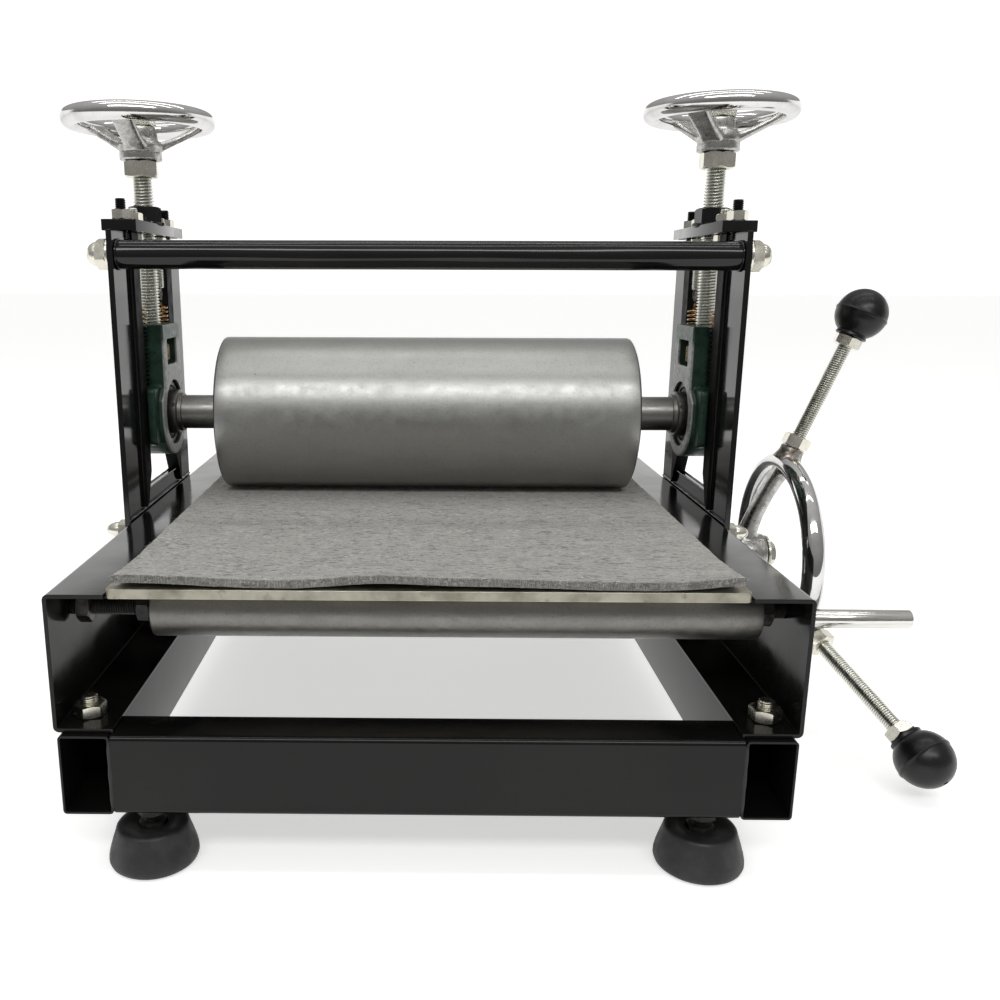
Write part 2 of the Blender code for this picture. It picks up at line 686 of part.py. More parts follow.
# Pressure screws, handwheels and springs.
for side, s in SIDES:
    x = s * FRAME_X
    rim_z = WHEEL_Z_LEFT if s < 0 else WHEEL_Z_RIGHT
    hub_low = rim_z - HUB_DROP
    hub_top = hub_low + 24.0
    at = (x, 0, 0)
    phase = math.radians(-90 if s < 0 else -128)
    rod_top = hub_top + 11.0
    rod = [(0, SCREW_LOW), (SCREW_R - 1.2, SCREW_LOW), (SCREW_R, SCREW_LOW + 1.2)]
    rod += [(SCREW_R, rod_top - 1.2), (SCREW_R - 1.2, rod_top), (0, rod_top)]
    steps = [
        add(hex_nut("Z", at, 22.0, POCKET_LOW + 3, POCKET_HIGH - 4.5)),
        add(hex_nut("Z", at, 24.0, hub_low - 12.3, hub_low - GAP, 0.15)),
        add(hex_nut("Z", at, 22.0, hub_top + GAP, hub_top + 8.0, 0.4)),
    ]
    build("pressure_screw_" + side, ZINC, lathe("Z", at, rod, 20), *steps, pivot=(x, 0, 400.0))

    hub = [
        (16.5, hub_low),
        (16.0, hub_low + 12.0),
        (14.5, hub_low + 20.0),
        (13.5, hub_top),
    ]
    steps = []
    for k in range(3):
        a = phase + 2 * math.pi * k / 3
        path = []
        for r, z in ((8.0, hub_low + 13), (20.0, hub_low + 15), (36.0, rim_z - 5), (50.0, rim_z)):
            path.append((x + r * math.cos(a), r * math.sin(a), z))
        steps.append(add(pipe(path, [6.0, 5.5, 4.6, 4.4], 8)))
    steps.append(add(torus("Z", (x, 0, rim_z), RIM_R, RIM_BAR_R, 28, 8)))
    steps.append(cut(bar("Z", at, SCREW_R + GAP, hub_low - 5, hub_top + 5, 24)))
    build("handwheel_" + side, CHROME, lathe("Z", at, hub, 24), *steps, pivot=(x, 0, rim_z))

    for end, e in ENDS:
        r = (SPRING_OD - SPRING_WIRE) / 2
        y = e * SPRING_Y
        path = []
        turns = SPRING_TURNS
        segments = 6
        for i in range(turns * segments + 1):
            a = 2 * math.pi * i / segments
            z = SPRING_LOW + (SPRING_HIGH - SPRING_LOW) * i / (turns * segments)
            path.append((x + r * math.sin(a), y + r * math.cos(a), z))
        last = path[-1]
        for u, h in ((0.7, 1.0), (0.25, 1.8), (0.0, 2.2)):
            path.append((x, y + (last[1] - y) * u, SPRING_HIGH + h))
        path.append((x, y, SPRING_HIGH + 3.2))
        coil = pipe(path, SPRING_WIRE / 2, 3)
        name = "return_spring_" + end + "_" + side
        build(name, COPPER, coil, pivot=(x, y, SPRING_HIGH))


# Turning wheel with three tilted handles and a fixed crank pin.
def handle_axis(angle):
    """Unit direction of a handle that leans outboard from the radial direction."""
    radial = Vector((0, -math.sin(angle), math.cos(angle)))
    return (radial * math.cos(HANDLE_TILT) + Vector((math.sin(HANDLE_TILT), 0, 0))).normalized()


def on_handle(angle, radius):
    """Point where the handle's centreline stands this far from the wheel's axis."""
    radial = Vector((0, -math.sin(angle), math.cos(angle)))
    out = (radius - RING_R) * math.tan(HANDLE_TILT)
    return Vector((RING_X + out, 0, DRIVE_Z)) + radial * radius


steps = [add(torus("X", (RING_X, 0, DRIVE_Z), RING_R, RING_BAR_R, 32, 8))]
angles = [HANDLE_PHASE + 2 * math.pi * k / 3 for k in range(3)]
slant = 1.0 / math.cos(HANDLE_TILT)
for a in angles:
    radial = Vector((0, -math.sin(a), math.cos(a)))
    path = []
    for r, x in ((8.0, HUB_IN + 11), (24.0, HUB_IN + 13), (50.0, RING_X - 14), (74.0, RING_X)):
        path.append(Vector((x, 0, DRIVE_Z)) + radial * r)
    steps.append(add(pipe(path, [9.0, 7.5, 6.5, 7.0], 8)))
    seat = on_handle(a, NUT_AT - 5.0)
    socket = lathe(frame_along(handle_axis(a)), seat, [(9.5, -12.0), (9.0, 0)], 14)
    steps.append(add(socket))
pin_line = (0, -PIN_AT * math.sin(PIN_ANGLE), DRIVE_Z + PIN_AT * math.cos(PIN_ANGLE))
profile = [(8.5, RING_X - 5), (8.5, RING_X + 2), (PIN_R, RING_X + 6)]
profile += [(PIN_R, PIN_END - 0.8), (PIN_R - 0.8, PIN_END)]
steps.append(add(lathe("X", pin_line, profile, 16)))
steps.append(cut(bar("X", (0, 0, DRIVE_Z), DRIVE_SHAFT_R + GAP, HUB_IN - 20, HUB_OUT + 20, 32)))
for a in angles:
    seat = on_handle(a, NUT_AT - 5.0)
    steps.append(cut(bar(frame_along(handle_axis(a)), seat, ROD_R + GAP, -9, 5, 12)))
hub = [(HUB_R, HUB_IN), (HUB_R, HUB_OUT - 1), (HUB_R - 1, HUB_OUT)]
shape = lathe("X", (0, 0, DRIVE_Z), hub, 32)
build("turning_wheel", CHROME, shape, *steps, pivot=(RING_X, 0, DRIVE_Z))

for k, a in enumerate(angles, 1):
    axis = frame_along(handle_axis(a))
    seat = on_handle(a, NUT_AT - 5.0)
    reach = (KNOB_AT - NUT_AT + 5.0) * slant
    neck = reach - KNOB_NECK
    rod = bar(axis, seat, ROD_R, -8.5, reach - 8.0, 16)
    nut = hex_nut(axis, seat, 19.0, GAP, 10.3)
    jam = hex_nut(axis, seat, 19.0, neck - 8.3, neck - GAP)
    pivot = seat
    build("handle_rod_%d" % k, ZINC, rod, add(nut), add(jam), pivot=pivot)
    ball = [(11.8, neck), (11.8, neck + 1.6), (11.4, neck + 2.8)]
    for i in range(1, 10):
        b = math.radians(-52 + 142 * i / 9)
        r = KNOB_R * math.cos(b)
        ball.append((r if i < 9 else 0, reach + KNOB_R * math.sin(b)))
    inner = [(0, reach - 7.5), (ROD_R + GAP, reach - 7.5), (ROD_R + GAP, neck)]
    shape = lathe(axis, seat, inner + ball, 16)
    build("knob_%d" % k, PLASTIC, shape, pivot=on_handle(a, KNOB_AT))
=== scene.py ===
import math
import random

import bpy
import numpy as np
from mathutils import Matrix, Vector, noise


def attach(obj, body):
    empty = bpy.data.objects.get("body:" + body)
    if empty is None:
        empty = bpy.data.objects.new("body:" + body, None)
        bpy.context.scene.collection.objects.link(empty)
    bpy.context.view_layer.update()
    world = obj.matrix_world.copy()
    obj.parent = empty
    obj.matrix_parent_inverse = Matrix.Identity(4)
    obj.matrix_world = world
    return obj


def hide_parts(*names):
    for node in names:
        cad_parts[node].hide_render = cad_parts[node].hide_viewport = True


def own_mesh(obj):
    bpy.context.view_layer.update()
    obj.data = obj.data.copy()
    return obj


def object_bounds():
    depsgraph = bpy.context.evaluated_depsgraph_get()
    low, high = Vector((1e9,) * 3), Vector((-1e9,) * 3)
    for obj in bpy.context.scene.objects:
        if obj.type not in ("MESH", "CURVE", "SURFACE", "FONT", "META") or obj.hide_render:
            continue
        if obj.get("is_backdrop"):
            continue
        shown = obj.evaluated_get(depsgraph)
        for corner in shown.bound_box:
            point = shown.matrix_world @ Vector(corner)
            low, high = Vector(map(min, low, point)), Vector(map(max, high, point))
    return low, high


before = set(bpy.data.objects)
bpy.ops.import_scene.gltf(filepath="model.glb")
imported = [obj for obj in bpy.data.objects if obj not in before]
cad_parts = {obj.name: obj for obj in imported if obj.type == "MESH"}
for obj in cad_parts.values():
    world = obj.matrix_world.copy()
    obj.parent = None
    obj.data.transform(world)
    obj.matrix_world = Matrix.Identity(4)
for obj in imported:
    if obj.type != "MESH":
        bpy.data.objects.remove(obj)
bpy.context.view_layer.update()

# Lengths are in mm from the middle of the press, as in the CAD. The scene's origin is the middle
# of the whole box, which the turning wheel pushes CENTRE to the right.
MM = 0.001
CENTRE = 43.25
SIDES = (("left", -1), ("right", 1))
ENDS = (("front", -1), ("rear", 1))
FRAME_X = 220.0
PRESS_Z = 243.3
DRIVE_Z = 126.7
BED_TOP = 178.0
ROLLER_HALF = 161.0
TIE_BAR_Y, TIE_BAR_Z = -80.0, 364.5
SPRING_Y = 31.9
SPRING_LOW, SPRING_HIGH, SPRING_TOP = 268.2, 326.0, 330.2
RING_X, RING_R = 293.0, 76.0
SOCKET_R, KNOB_R = 89.3, 195.7
TILT = math.radians(22.3)


# ---------------------------------------------------------------- materials

def link(tree, a, b):
    tree.links.new(a, b)


def tone(colour):
    return (*colour, 1.0)


class Shade:
    """A Principled material whose colour, roughness and bump come from noise in mm."""

    def __init__(self, name, base, metallic=0.0, rough=0.4):
        self.mat = bpy.data.materials.new(name)
        self.mat.use_nodes = True
        self.tree = self.mat.node_tree
        self.shader = self.tree.nodes["Principled BSDF"]
        self.shader.inputs["Metallic"].default_value = metallic
        self.shader.inputs["Roughness"].default_value = rough
        self.shader.inputs["Base Color"].default_value = tone(base)
        self.where = self.tree.nodes.new("ShaderNodeTexCoord").outputs["Object"]
        self.colour = None
        self.base = base
        self.normal = None
        self.mat.diffuse_color = tone(base)

    def set(self, **values):
        for key, value in values.items():
            self.shader.inputs[key.replace("_", " ")].default_value = value
        return self

    def noise(self, size, stretch=(1, 1, 1), detail=3.0, rough=0.55, distort=0.0, offset=0.0):
        """Noise whose features are about size mm; stretch divides the frequency on each axis."""
        place = self.tree.nodes.new("ShaderNodeMapping")
        place.inputs["Scale"].default_value = [1000.0 / size / s for s in stretch]
        place.inputs["Location"].default_value = (offset, offset * 0.7, offset * 1.3)
        link(self.tree, self.where, place.inputs["Vector"])
        cloud = self.tree.nodes.new("ShaderNodeTexNoise")
        cloud.inputs["Scale"].default_value = 1.0
        cloud.inputs["Detail"].default_value = detail
        cloud.inputs["Roughness"].default_value = rough
        cloud.inputs["Distortion"].default_value = distort
        link(self.tree, place.outputs["Vector"], cloud.inputs["Vector"])
        return cloud.outputs["Fac"]

    def span(self, value, low, high, to_low=0.0, to_high=1.0):
        node = self.tree.nodes.new("ShaderNodeMapRange")
        node.inputs["From Min"].default_value = low
        node.inputs["From Max"].default_value = high
        node.inputs["To Min"].default_value = to_low
        node.inputs["To Max"].default_value = to_high
        link(self.tree, value, node.inputs["Value"])
        return node.outputs["Result"]

    def maths(self, kind, a, b=None):
        node = self.tree.nodes.new("ShaderNodeMath")
        node.operation = kind
        for socket, value in zip(node.inputs, (a, b)):
            if value is None:
                continue
            if isinstance(value, (int, float)):
                socket.default_value = value
            else:
                link(self.tree, value, socket)
        return node.outputs["Value"]

    def axis(self, index):
        """A coordinate in metres."""
        node = self.tree.nodes.new("ShaderNodeSeparateXYZ")
        link(self.tree, self.where, node.inputs["Vector"])
        return node.outputs[index]

    def groove(self):
        """Under a half in a groove, over a half on a ridge."""
        return self.tree.nodes.new("ShaderNodeNewGeometry").outputs["Pointiness"]

    def mix(self, colour, by):
        """Lays another colour over what is there, by a factor."""
        node = self.tree.nodes.new("ShaderNodeMix")
        node.data_type = "RGBA"
        node.inputs[7].default_value = tone(colour)
        if self.colour is None:
            node.inputs[6].default_value = tone(self.base)
        else:
            link(self.tree, self.colour, node.inputs[6])
        link(self.tree, by, node.inputs["Factor"])
        self.colour = node.outputs[2]
        link(self.tree, self.colour, self.shader.inputs["Base Color"])
        return self

    def patch(self, colour, ramp, size, **cloud):
        """Lays a colour by noise; the ramp is from, to, and the amounts there."""
        return self.mix(colour, self.span(self.noise(size, **cloud), *ramp))

    def rough(self, low, high, size, ramp=(0.3, 0.7), **cloud):
        """Roughness that wanders by noise between low and high."""
        value = self.span(self.noise(size, **cloud), *ramp, low, high)
        link(self.tree, value, self.shader.inputs["Roughness"])

    def bump(self, depth, size, **cloud):
        """Relief whose depth is in mm."""
        height = self.noise(size, **cloud)
        node = self.tree.nodes.new("ShaderNodeBump")
        node.inputs["Strength"].default_value = 1.0
        node.inputs["Distance"].default_value = depth * MM
        link(self.tree, height, node.inputs["Height"])
        if self.normal is not None:
            link(self.tree, self.normal, node.inputs["Normal"])
        self.normal = node.outputs["Normal"]
        link(self.tree, self.normal, self.shader.inputs["Normal"])
        return self


def make_paint(name, ior, base, cloud, low, high):
    s = Shade(name, base, 0.0, 0.1)
    s.set(IOR=ior)
    s.rough(low, high, 45)
    s.patch(cloud, (0.45, 0.75), 90, detail=4)
    s.patch((0.09, 0.085, 0.08), (0.75, 0.8, 0.0, 0.4), 0.8, detail=2)
    s.bump(0.035, 14, detail=2)
    s.bump(0.003, 1.6)
    return s.mat


def make_satin():
    s = Shade("matt_black_paint", (0.006, 0.006, 0.006), 0.0, 0.6)
    s.set(Specular_IOR_Level=0.12)
    s.rough(0.5, 0.7, 9)
    s.patch((0.012, 0.011, 0.011), (0.45, 0.75), 30, detail=4)
    s.bump(0.03, 3, detail=3)
    return s.mat


def make_zinc():
    s = Shade("bright_zinc", (0.76, 0.74, 0.655), 1.0, 0.26)
    s.patch((0.63, 0.605, 0.515), (0.4, 0.7, 0.0, 0.8), 9)
    s.patch((0.3, 0.25, 0.18), (0.66, 0.8, 0.0, 0.5), 5, offset=3)
    s.rough(0.2, 0.32, 7, offset=5)
    s.bump(0.012, 5, detail=1)
    return s.mat


def make_thread_zinc():
    """Bright crests over roots darkened with painted shade."""
    s = Shade("zinc_thread", (0.86, 0.86, 0.81), 1.0, 0.24)
    s.patch((0.74, 0.74, 0.68), (0.45, 0.75), 12)
    # Painted shade: the roots, found by pointiness, are darkened as if shaded in the grooves.
    s.mix((0.3, 0.3, 0.265), s.span(s.groove(), 0.515, 0.46))
    s.rough(0.2, 0.3, 9)
    return s.mat


def make_chrome():
    s = Shade("polished_chrome", (0.68, 0.675, 0.665), 1.0, 0.06)
    s.patch((0.55, 0.545, 0.535), (0.45, 0.75), 16)
    s.rough(0.04, 0.15, 8, detail=5, ramp=(0.35, 0.75))
    s.bump(0.06, 20, detail=1)
    s.bump(0.005, 3.5, detail=3)
    return s.mat


def make_drawn_chrome():
    s = Shade("drawn_chromed_bar", (0.74, 0.735, 0.7), 1.0, 0.12)
    s.patch((0.46, 0.44, 0.4), (0.5, 0.7, 0.0, 0.7), 2.2, stretch=(26, 1, 1))
    s.rough(0.09, 0.22, 6)
    s.bump(0.05, 1.6, stretch=(30, 1, 1), detail=3)
    return s.mat


def make_cast_chrome():
    s = Shade("rough_cast_chrome", (0.5, 0.49, 0.47), 1.0, 0.28)
    s.patch((0.3, 0.29, 0.275), (0.45, 0.72), 6, detail=5)
    s.patch((0.3, 0.2, 0.13), (0.68, 0.82, 0.0, 0.4), 4, offset=4)
    s.rough(0.2, 0.42, 3)
    s.bump(0.035, 1.3, detail=4)
    s.bump(0.06, 6, detail=2)
    return s.mat


def make_socket():
    """Brazed steel, plated over: silver with brown and dark scorched patches."""
    s = Shade("scorched_socket_steel", (0.5, 0.475, 0.44), 1.0, 0.34)
    s.patch((0.2, 0.165, 0.14), (0.42, 0.62), 5, detail=5)
    s.patch((0.36, 0.23, 0.16), (0.62, 0.76, 0.0, 0.6), 3, offset=5)
    s.rough(0.25, 0.55, 3)
    s.bump(0.12, 1.6, detail=5)
    return s.mat


def make_turned(name, base, dark, rough, rings=0.3, rims=None, scars=0.6, dents=0.0):
    """Steel turned about X: faint rings, pits, short scratches, and brown oxide at stated ends."""
    s = Shade(name, base, 1.0, rough)
    ring_lines = s.noise(0.35, stretch=(1, 60, 60), detail=4)
    broad = s.noise(30, stretch=(1.4, 1, 1), detail=4)
    s.mix(dark, s.span(broad, 0.42, 0.78, 0.0, 0.5))
    s.mix([min(1.0, c * 1.3) for c in base], s.span(ring_lines, 0.45, 0.75, 0.0, rings))
    s.patch([c * 1.35 for c in base], (0.6, 0.8, 0.0, 0.35), 0.7, detail=2, offset=6)
    s.patch([c * 0.2 for c in base], (0.765, 0.79, 0, scars), 2.6, stretch=(2.2, 1, 0.7), offset=9)
    if rims:
        x = s.maths("ABSOLUTE", s.maths("ADD", s.axis(0), CENTRE * MM))
        edge = s.span(x, rims * MM - 0.0022, rims * MM - 0.0002)
        s.mix((0.2, 0.165, 0.135), s.maths("MULTIPLY", edge, s.span(s.noise(4), 0.3, 0.6, 0.2, 0.6)))
    s.patch([c * 0.62 for c in base], (0.52, 0.74, 0.0, 0.5), 1.3, stretch=(1.3, 1, 1), detail=4, offset=12)
    s.patch([c * 0.3 for c in base], (0.735, 0.76, 0, scars), 1.0, stretch=(9, 1, 0.6), offset=17)
    s.rough(rough - 0.05, rough + 0.07, 9, offset=2)
    s.bump(0.03, 0.9, detail=3)
    s.bump(0.05 + dents, 5, detail=2)
    return s.mat


def make_blackened():
    s = Shade("blackened_steel", (0.014, 0.0135, 0.013), 0.2, 0.5)
    s.patch((0.035, 0.028, 0.022), (0.5, 0.75), 5, detail=5)
    s.rough(0.4, 0.62, 3)
    s.bump(0.02, 1.2)
    return s.mat


def make_oiled():
    s = Shade("oiled_steel", (0.2, 0.19, 0.185), 1.0, 0.36)
    s.patch((0.06, 0.055, 0.05), (0.4, 0.7), 5, detail=5)
    s.patch((0.16, 0.1, 0.06), (0.6, 0.8, 0.0, 0.6), 7, offset=6)
    s.rough(0.25, 0.5, 3)
    s.bump(0.02, 1.2)
    return s.mat


def make_bed():
    s = Shade("ground_bed_plate", (0.46, 0.44, 0.365), 1.0, 0.42)
    s.patch((0.2, 0.19, 0.145), (0.42, 0.7, 0.0, 0.8), 24, detail=5)
    s.patch((0.4, 0.395, 0.34), (0.5, 0.75, 0.0, 0.5), 0.5, stretch=(30, 1, 1))
    s.patch((0.13, 0.095, 0.06), (0.62, 0.76, 0.0, 0.6), 9, offset=4)
    s.rough(0.34, 0.55, 6)
    s.bump(0.006, 0.6, stretch=(20, 1, 1))
    s.bump(0.03, 3)
    return s.mat


def make_casting():
    """Green enamel over cast iron; the lower faces towards the roller are bare and grey."""
    s = Shade("green_enamel_casting", (0.017, 0.048, 0.032), 0.0, 0.34)
    s.set(IOR=1.45)
    s.patch((0.008, 0.024, 0.017), (0.4, 0.7), 7, detail=4)
    x = s.maths("ABSOLUTE", s.maths("ADD", s.axis(0), CENTRE * MM))
    inner = s.span(x, 0.2057, 0.2047)
    s.mix((0.05, 0.085, 0.068), s.maths("MULTIPLY", inner, s.span(s.noise(5), 0.3, 0.6, 0.3, 0.9)))
    lower = s.maths("MULTIPLY", inner, s.span(s.axis(2), 0.303, 0.297))
    patch = s.maths("MULTIPLY", lower, s.span(s.noise(7, detail=5, offset=2), 0.3, 0.46, 0.5, 1.0))
    s.mix((0.36, 0.365, 0.35), patch)
    s.mix((0.1, 0.11, 0.1), s.maths("MULTIPLY", lower, s.span(s.noise(3, offset=8), 0.5, 0.7, 0, 0.7)))
    s.patch((0.4, 0.4, 0.38), (0.73, 0.78, 0.0, 0.5), 1.4, offset=5)
    s.rough(0.26, 0.5, 4)
    s.bump(0.12, 2.2, detail=5)
    return s.mat


def make_copper():
    """Coppered wire. Coils below the housing's top are painted near black as shade, so that they don't
    stand out.
    """
    s = Shade("coppered_wire", (0.62, 0.4, 0.2), 1.0, 0.3)
    s.patch((0.16, 0.09, 0.05), (0.4, 0.62), 4)
    # Painted shade: coils below the housing's top are made near black.
    s.mix((0.012, 0.013, 0.012), s.span(s.axis(2), 0.3155, 0.3125))
    s.rough(0.18, 0.4, 2)
    return s.mat


def make_rubber():
    s = Shade("moulded_rubber", (0.0085, 0.0085, 0.009), 0.0, 0.65)
    s.patch((0.024, 0.0235, 0.023), (0.45, 0.75), 14, detail=5)
    s.patch((0.13, 0.125, 0.12), (0.72, 0.78, 0.0, 0.4), 0.9)
    s.rough(0.42, 0.66, 10)
    s.bump(0.03, 0.8)
    return s.mat


def make_plastic():
    s = Shade("black_moulded_plastic", (0.0045, 0.004, 0.0045), 0.0, 0.3)
    s.set(IOR=1.4)
    s.patch((0.011, 0.0095, 0.0095), (0.45, 0.75), 12)
    s.rough(0.24, 0.4, 8, detail=4)
    s.bump(0.04, 9, detail=2)
    return s.mat


def make_brass():
    s = Shade("yellow_zinc", (0.72, 0.62, 0.42), 0.55, 0.35)
    s.patch((0.48, 0.39, 0.24), (0.42, 0.7), 3)
    s.rough(0.22, 0.42, 2)
    return s.mat


def make_felt():
    """Grey wool of mixed light and dark fibre, pressed, with a nap that runs mostly across."""
    s = Shade("heathered_wool_felt", (0.34, 0.33, 0.305), 0.0, 0.95)
    s.set(Sheen_Weight=0.2, Sheen_Roughness=0.5, Specular_IOR_Level=0.2)
    s.patch((0.44, 0.43, 0.4), (0.42, 0.66, 0.0, 0.7), 14, detail=5, rough=0.7)
    s.patch(
        (0.13, 0.128, 0.122), (0.53, 0.66, 0.0, 0.9), 2.6, stretch=(2.4, 0.9, 1), detail=4, offset=3,
        distort=0.9,
    )
    s.patch(
        (0.66, 0.645, 0.6), (0.56, 0.68, 0.0, 0.85), 1.9, stretch=(2.4, 0.8, 1), detail=3, offset=8,
        distort=1.3,
    )
    s.patch(
        (0.035, 0.035, 0.036), (0.61, 0.69, 0.0, 0.95), 1.6, stretch=(3.0, 0.9, 1), detail=3, offset=14,
        distort=1.0,
    )
    s.patch((0.52, 0.505, 0.47), (0.55, 0.75, 0.0, 0.6), 0.7, detail=3, offset=21)
    # The front cut edge is darkened in patches by noise.
    front = s.span(s.axis(1), -0.2612, -0.262)
    front_darkening = s.span(s.noise(1.2, stretch=(0.6, 1, 2.4), offset=5), 0.35, 0.6, 0.3, 0.85)
    s.mix((0.1, 0.096, 0.088), s.maths("MULTIPLY", front, front_darkening))
    s.bump(0.8, 2.4, detail=5, rough=0.75)
    s.bump(0.3, 0.7, stretch=(2, 0.6, 1), detail=3, offset=4)
    return s.mat


def make_fibre(name, colour):
    s = Shade(name, colour, 0.0, 0.9)
    s.set(Sheen_Weight=0.3)
    s.patch([c * 0.6 for c in colour], (0.4, 0.65), 4)
    return s.mat


PAINT = make_paint("gloss_black_paint", 1.42, (0.006, 0.006, 0.006), (0.012, 0.011, 0.0105), 0.05, 0.14)
BASE_PAINT = make_paint("dull_black_paint", 1.32, (0.005, 0.005, 0.0048), (0.009, 0.0085, 0.008), 0.08, 0.2)
ZINC = make_zinc()
THREAD = make_thread_zinc()
SATIN = make_satin()
CHROME = make_chrome()
DRAWN = make_drawn_chrome()
SOCKET = make_socket()
BLACKENED = make_blackened()
CAST = make_cast_chrome()
ROLLER = make_turned(
    "turned_roller_steel", (0.4, 0.4, 0.385), (0.345, 0.345, 0.333), 0.4, 0.12, ROLLER_HALF, 0.85,
)
SHAFT = make_turned("turned_shaft_steel", (0.29, 0.287, 0.275), (0.2, 0.195, 0.185), 0.38, 0.25)
DARK = make_turned("dark_turned_steel", (0.22, 0.215, 0.2), (0.13, 0.125, 0.115), 0.4, 0.1, None, 0.8, 0.12)
OILED = make_oiled()
BED = make_bed()
GREEN = make_casting()
COPPER = make_copper()
RUBBER = make_rubber()
PLASTIC = make_plastic()
BRASS = make_brass()
FELT = make_felt()
LIGHT_FIBRE = make_fibre("light_wool_fibre", (0.55, 0.54, 0.52))
DARK_FIBRE = make_fibre("dark_wool_fibre", (0.1, 0.1, 0.105))


# ---------------------------------------------------------------- shapes, as (points, faces) in mm

X = (Vector((0, 1, 0)), Vector((0, 0, 1)), Vector((1, 0, 0)))
Y = (Vector((0, 0, 1)), Vector((1, 0, 0)), Vector((0, 1, 0)))
Z = (Vector((1, 0, 0)), Vector((0, 1, 0)), Vector((0, 0, 1)))


def outboard(s):
    """Axes that run out of the press on one side."""
    return X if s > 0 else tuple(-v for v in X)


def at(axes, centre, u, v, w):
    return Vector(centre) + axes[0] * u + axes[1] * v + axes[2] * w


def axes_along(direction):
    along = Vector(direction).normalized()
    first = Vector((0, 1, 0)).cross(along)
    if first.length < 0.01:
        first = Vector((1, 0, 0)).cross(along)
    first.normalize()
    return first, along.cross(first), along


def rounded(half_u, half_v, radius, steps=5):
    loop = []
    for k, (su, sv) in enumerate(((1, 1), (-1, 1), (-1, -1), (1, -1))):
        for i in range(steps + 1):
            a = math.radians(90 * k + 90 * i / steps)
            u = su * (half_u - radius) + radius * math.cos(a)
            v = sv * (half_v - radius) + radius * math.sin(a)
            loop.append((u, v))
    return loop


def circle(radius, n):
    return [
        (radius * math.cos(2 * math.pi * i / n), radius * math.sin(2 * math.pi * i / n))
        for i in range(n)
    ]


def band(low, high):
    """Faces between two closed rows of point numbers."""
    n = len(low)
    return [(low[i], low[(i + 1) % n], high[(i + 1) % n], high[i]) for i in range(n)]


def polar(axes, centre, radius, angle, w):
    return at(axes, centre, radius * math.cos(angle), radius * math.sin(angle), w)


def prism(axes, centre, loop, low, high):
    n = len(loop)
    points = [at(axes, centre, u, v, w) for w in (low, high) for u, v in loop]
    faces = [tuple(range(n - 1, -1, -1)), tuple(range(n, 2 * n))]
    return points, faces + band(range(n), range(n, 2 * n))


def tube(axes, centre, outer, inner, low, high):
    n = len(outer)
    points = [at(axes, centre, u, v, w) for w in (low, high) for u, v in outer]
    points += [at(axes, centre, u, v, w) for w in (low, high) for u, v in inner]
    faces = []
    for i in range(n):
        j = (i + 1) % n
        faces += [(i, j, n + j, n + i), (2 * n + j, 2 * n + i, 3 * n + i, 3 * n + j)]
        faces += [(j, i, 2 * n + i, 2 * n + j), (n + i, n + j, 3 * n + j, 3 * n + i)]
    return points, faces


def lathe(axes, centre, profile, n=48, closed=False, radius_at=None):
    """Turned shape of (radius, along) rows. radius_at may bend a row's radius by its angle."""
    points = []
    rows = []
    for r, w in profile:
        if r == 0:
            rows.append([len(points)] * n)
            points.append(at(axes, centre, 0, 0, w))
            continue
        rows.append(list(range(len(points), len(points) + n)))
        for i in range(n):
            a = 2 * math.pi * i / n
            q = radius_at(r, w, a) if radius_at else r
            points.append(polar(axes, centre, q, a, w))
    faces = []
    pairs = list(zip(rows, rows[1:]))
    if closed:
        pairs.append((rows[-1], rows[0]))
    for low, high in pairs:
        for i in range(n):
            j = (i + 1) % n
            face = [low[i], low[j], high[j], high[i]]
            face = [p for k, p in enumerate(face) if p not in face[:k]]
            if len(face) > 2:
                faces.append(tuple(face))
    if not closed and profile[0][0] > 0:
        faces.append(tuple(reversed(rows[0])))
    if not closed and profile[-1][0] > 0:
        faces.append(tuple(rows[-1]))
    return points, faces


def ring(axes, centre, radius, bar, n=96, m=24):
    points = []
    for i in range(n):
        a = 2 * math.pi * i / n
        for j in range(m):
            b = 2 * math.pi * j / m
            r = radius + bar * math.cos(b)
            points.append(polar(axes, centre, r, a, bar * math.sin(b)))
    faces = []
    for i in range(n):
        for j in range(m):
            k = (i + 1) % n
            q = (j + 1) % m
            faces.append((i * m + j, k * m + j, k * m + q, i * m + q))
    return points, faces


def smooth_path(points, per=6):
    """Catmull-Rom points through the given ones."""
    p = [Vector(q) for q in points]
    p = [p[0] * 2 - p[1]] + p + [p[-1] * 2 - p[-2]]
    out = []
    for k in range(1, len(p) - 2):
        for i in range(per):
            t = i / per
            a, b, c, d = p[k - 1], p[k], p[k + 1], p[k + 2]
            square, cube = 2 * a - 5 * b + 4 * c - d, 3 * b - a - 3 * c + d
            out.append(0.5 * ((2 * b) + (c - a) * t + square * t * t + cube * t ** 3))
    out.append(p[-2])
    return out


def pipe(path, radii, sides=16):
    """A round bar along a path; radii is one radius, or several down its length."""
    path = [Vector(p) for p in path]
    points = []
    side = None
    for i, p in enumerate(path):
        ahead = path[min(i + 1, len(path) - 1)] - path[max(i - 1, 0)]
        ahead.normalize()
        if side is None:
            side = ahead.orthogonal().normalized()
        side = (side - ahead * side.dot(ahead)).normalized()
        other = ahead.cross(side)
        r = along(radii, i / (len(path) - 1)) if isinstance(radii, list) else radii
        for u, v in circle(r, sides):
            points.append(p + side * u + other * v)
    faces = [tuple(range(sides - 1, -1, -1))]
    last = len(path) - 1
    for start in range(0, last * sides, sides):
        faces += band(range(start, start + sides), range(start + sides, start + 2 * sides))
    faces.append(tuple(range(last * sides, last * sides + sides)))
    return points, faces


def along(values, t):
    """The value a share t of the way down a list of evenly spaced ones."""
    t = t * (len(values) - 1)
    k = min(int(t), len(values) - 2)
    return values[k] + (values[k + 1] - values[k]) * (t - k)


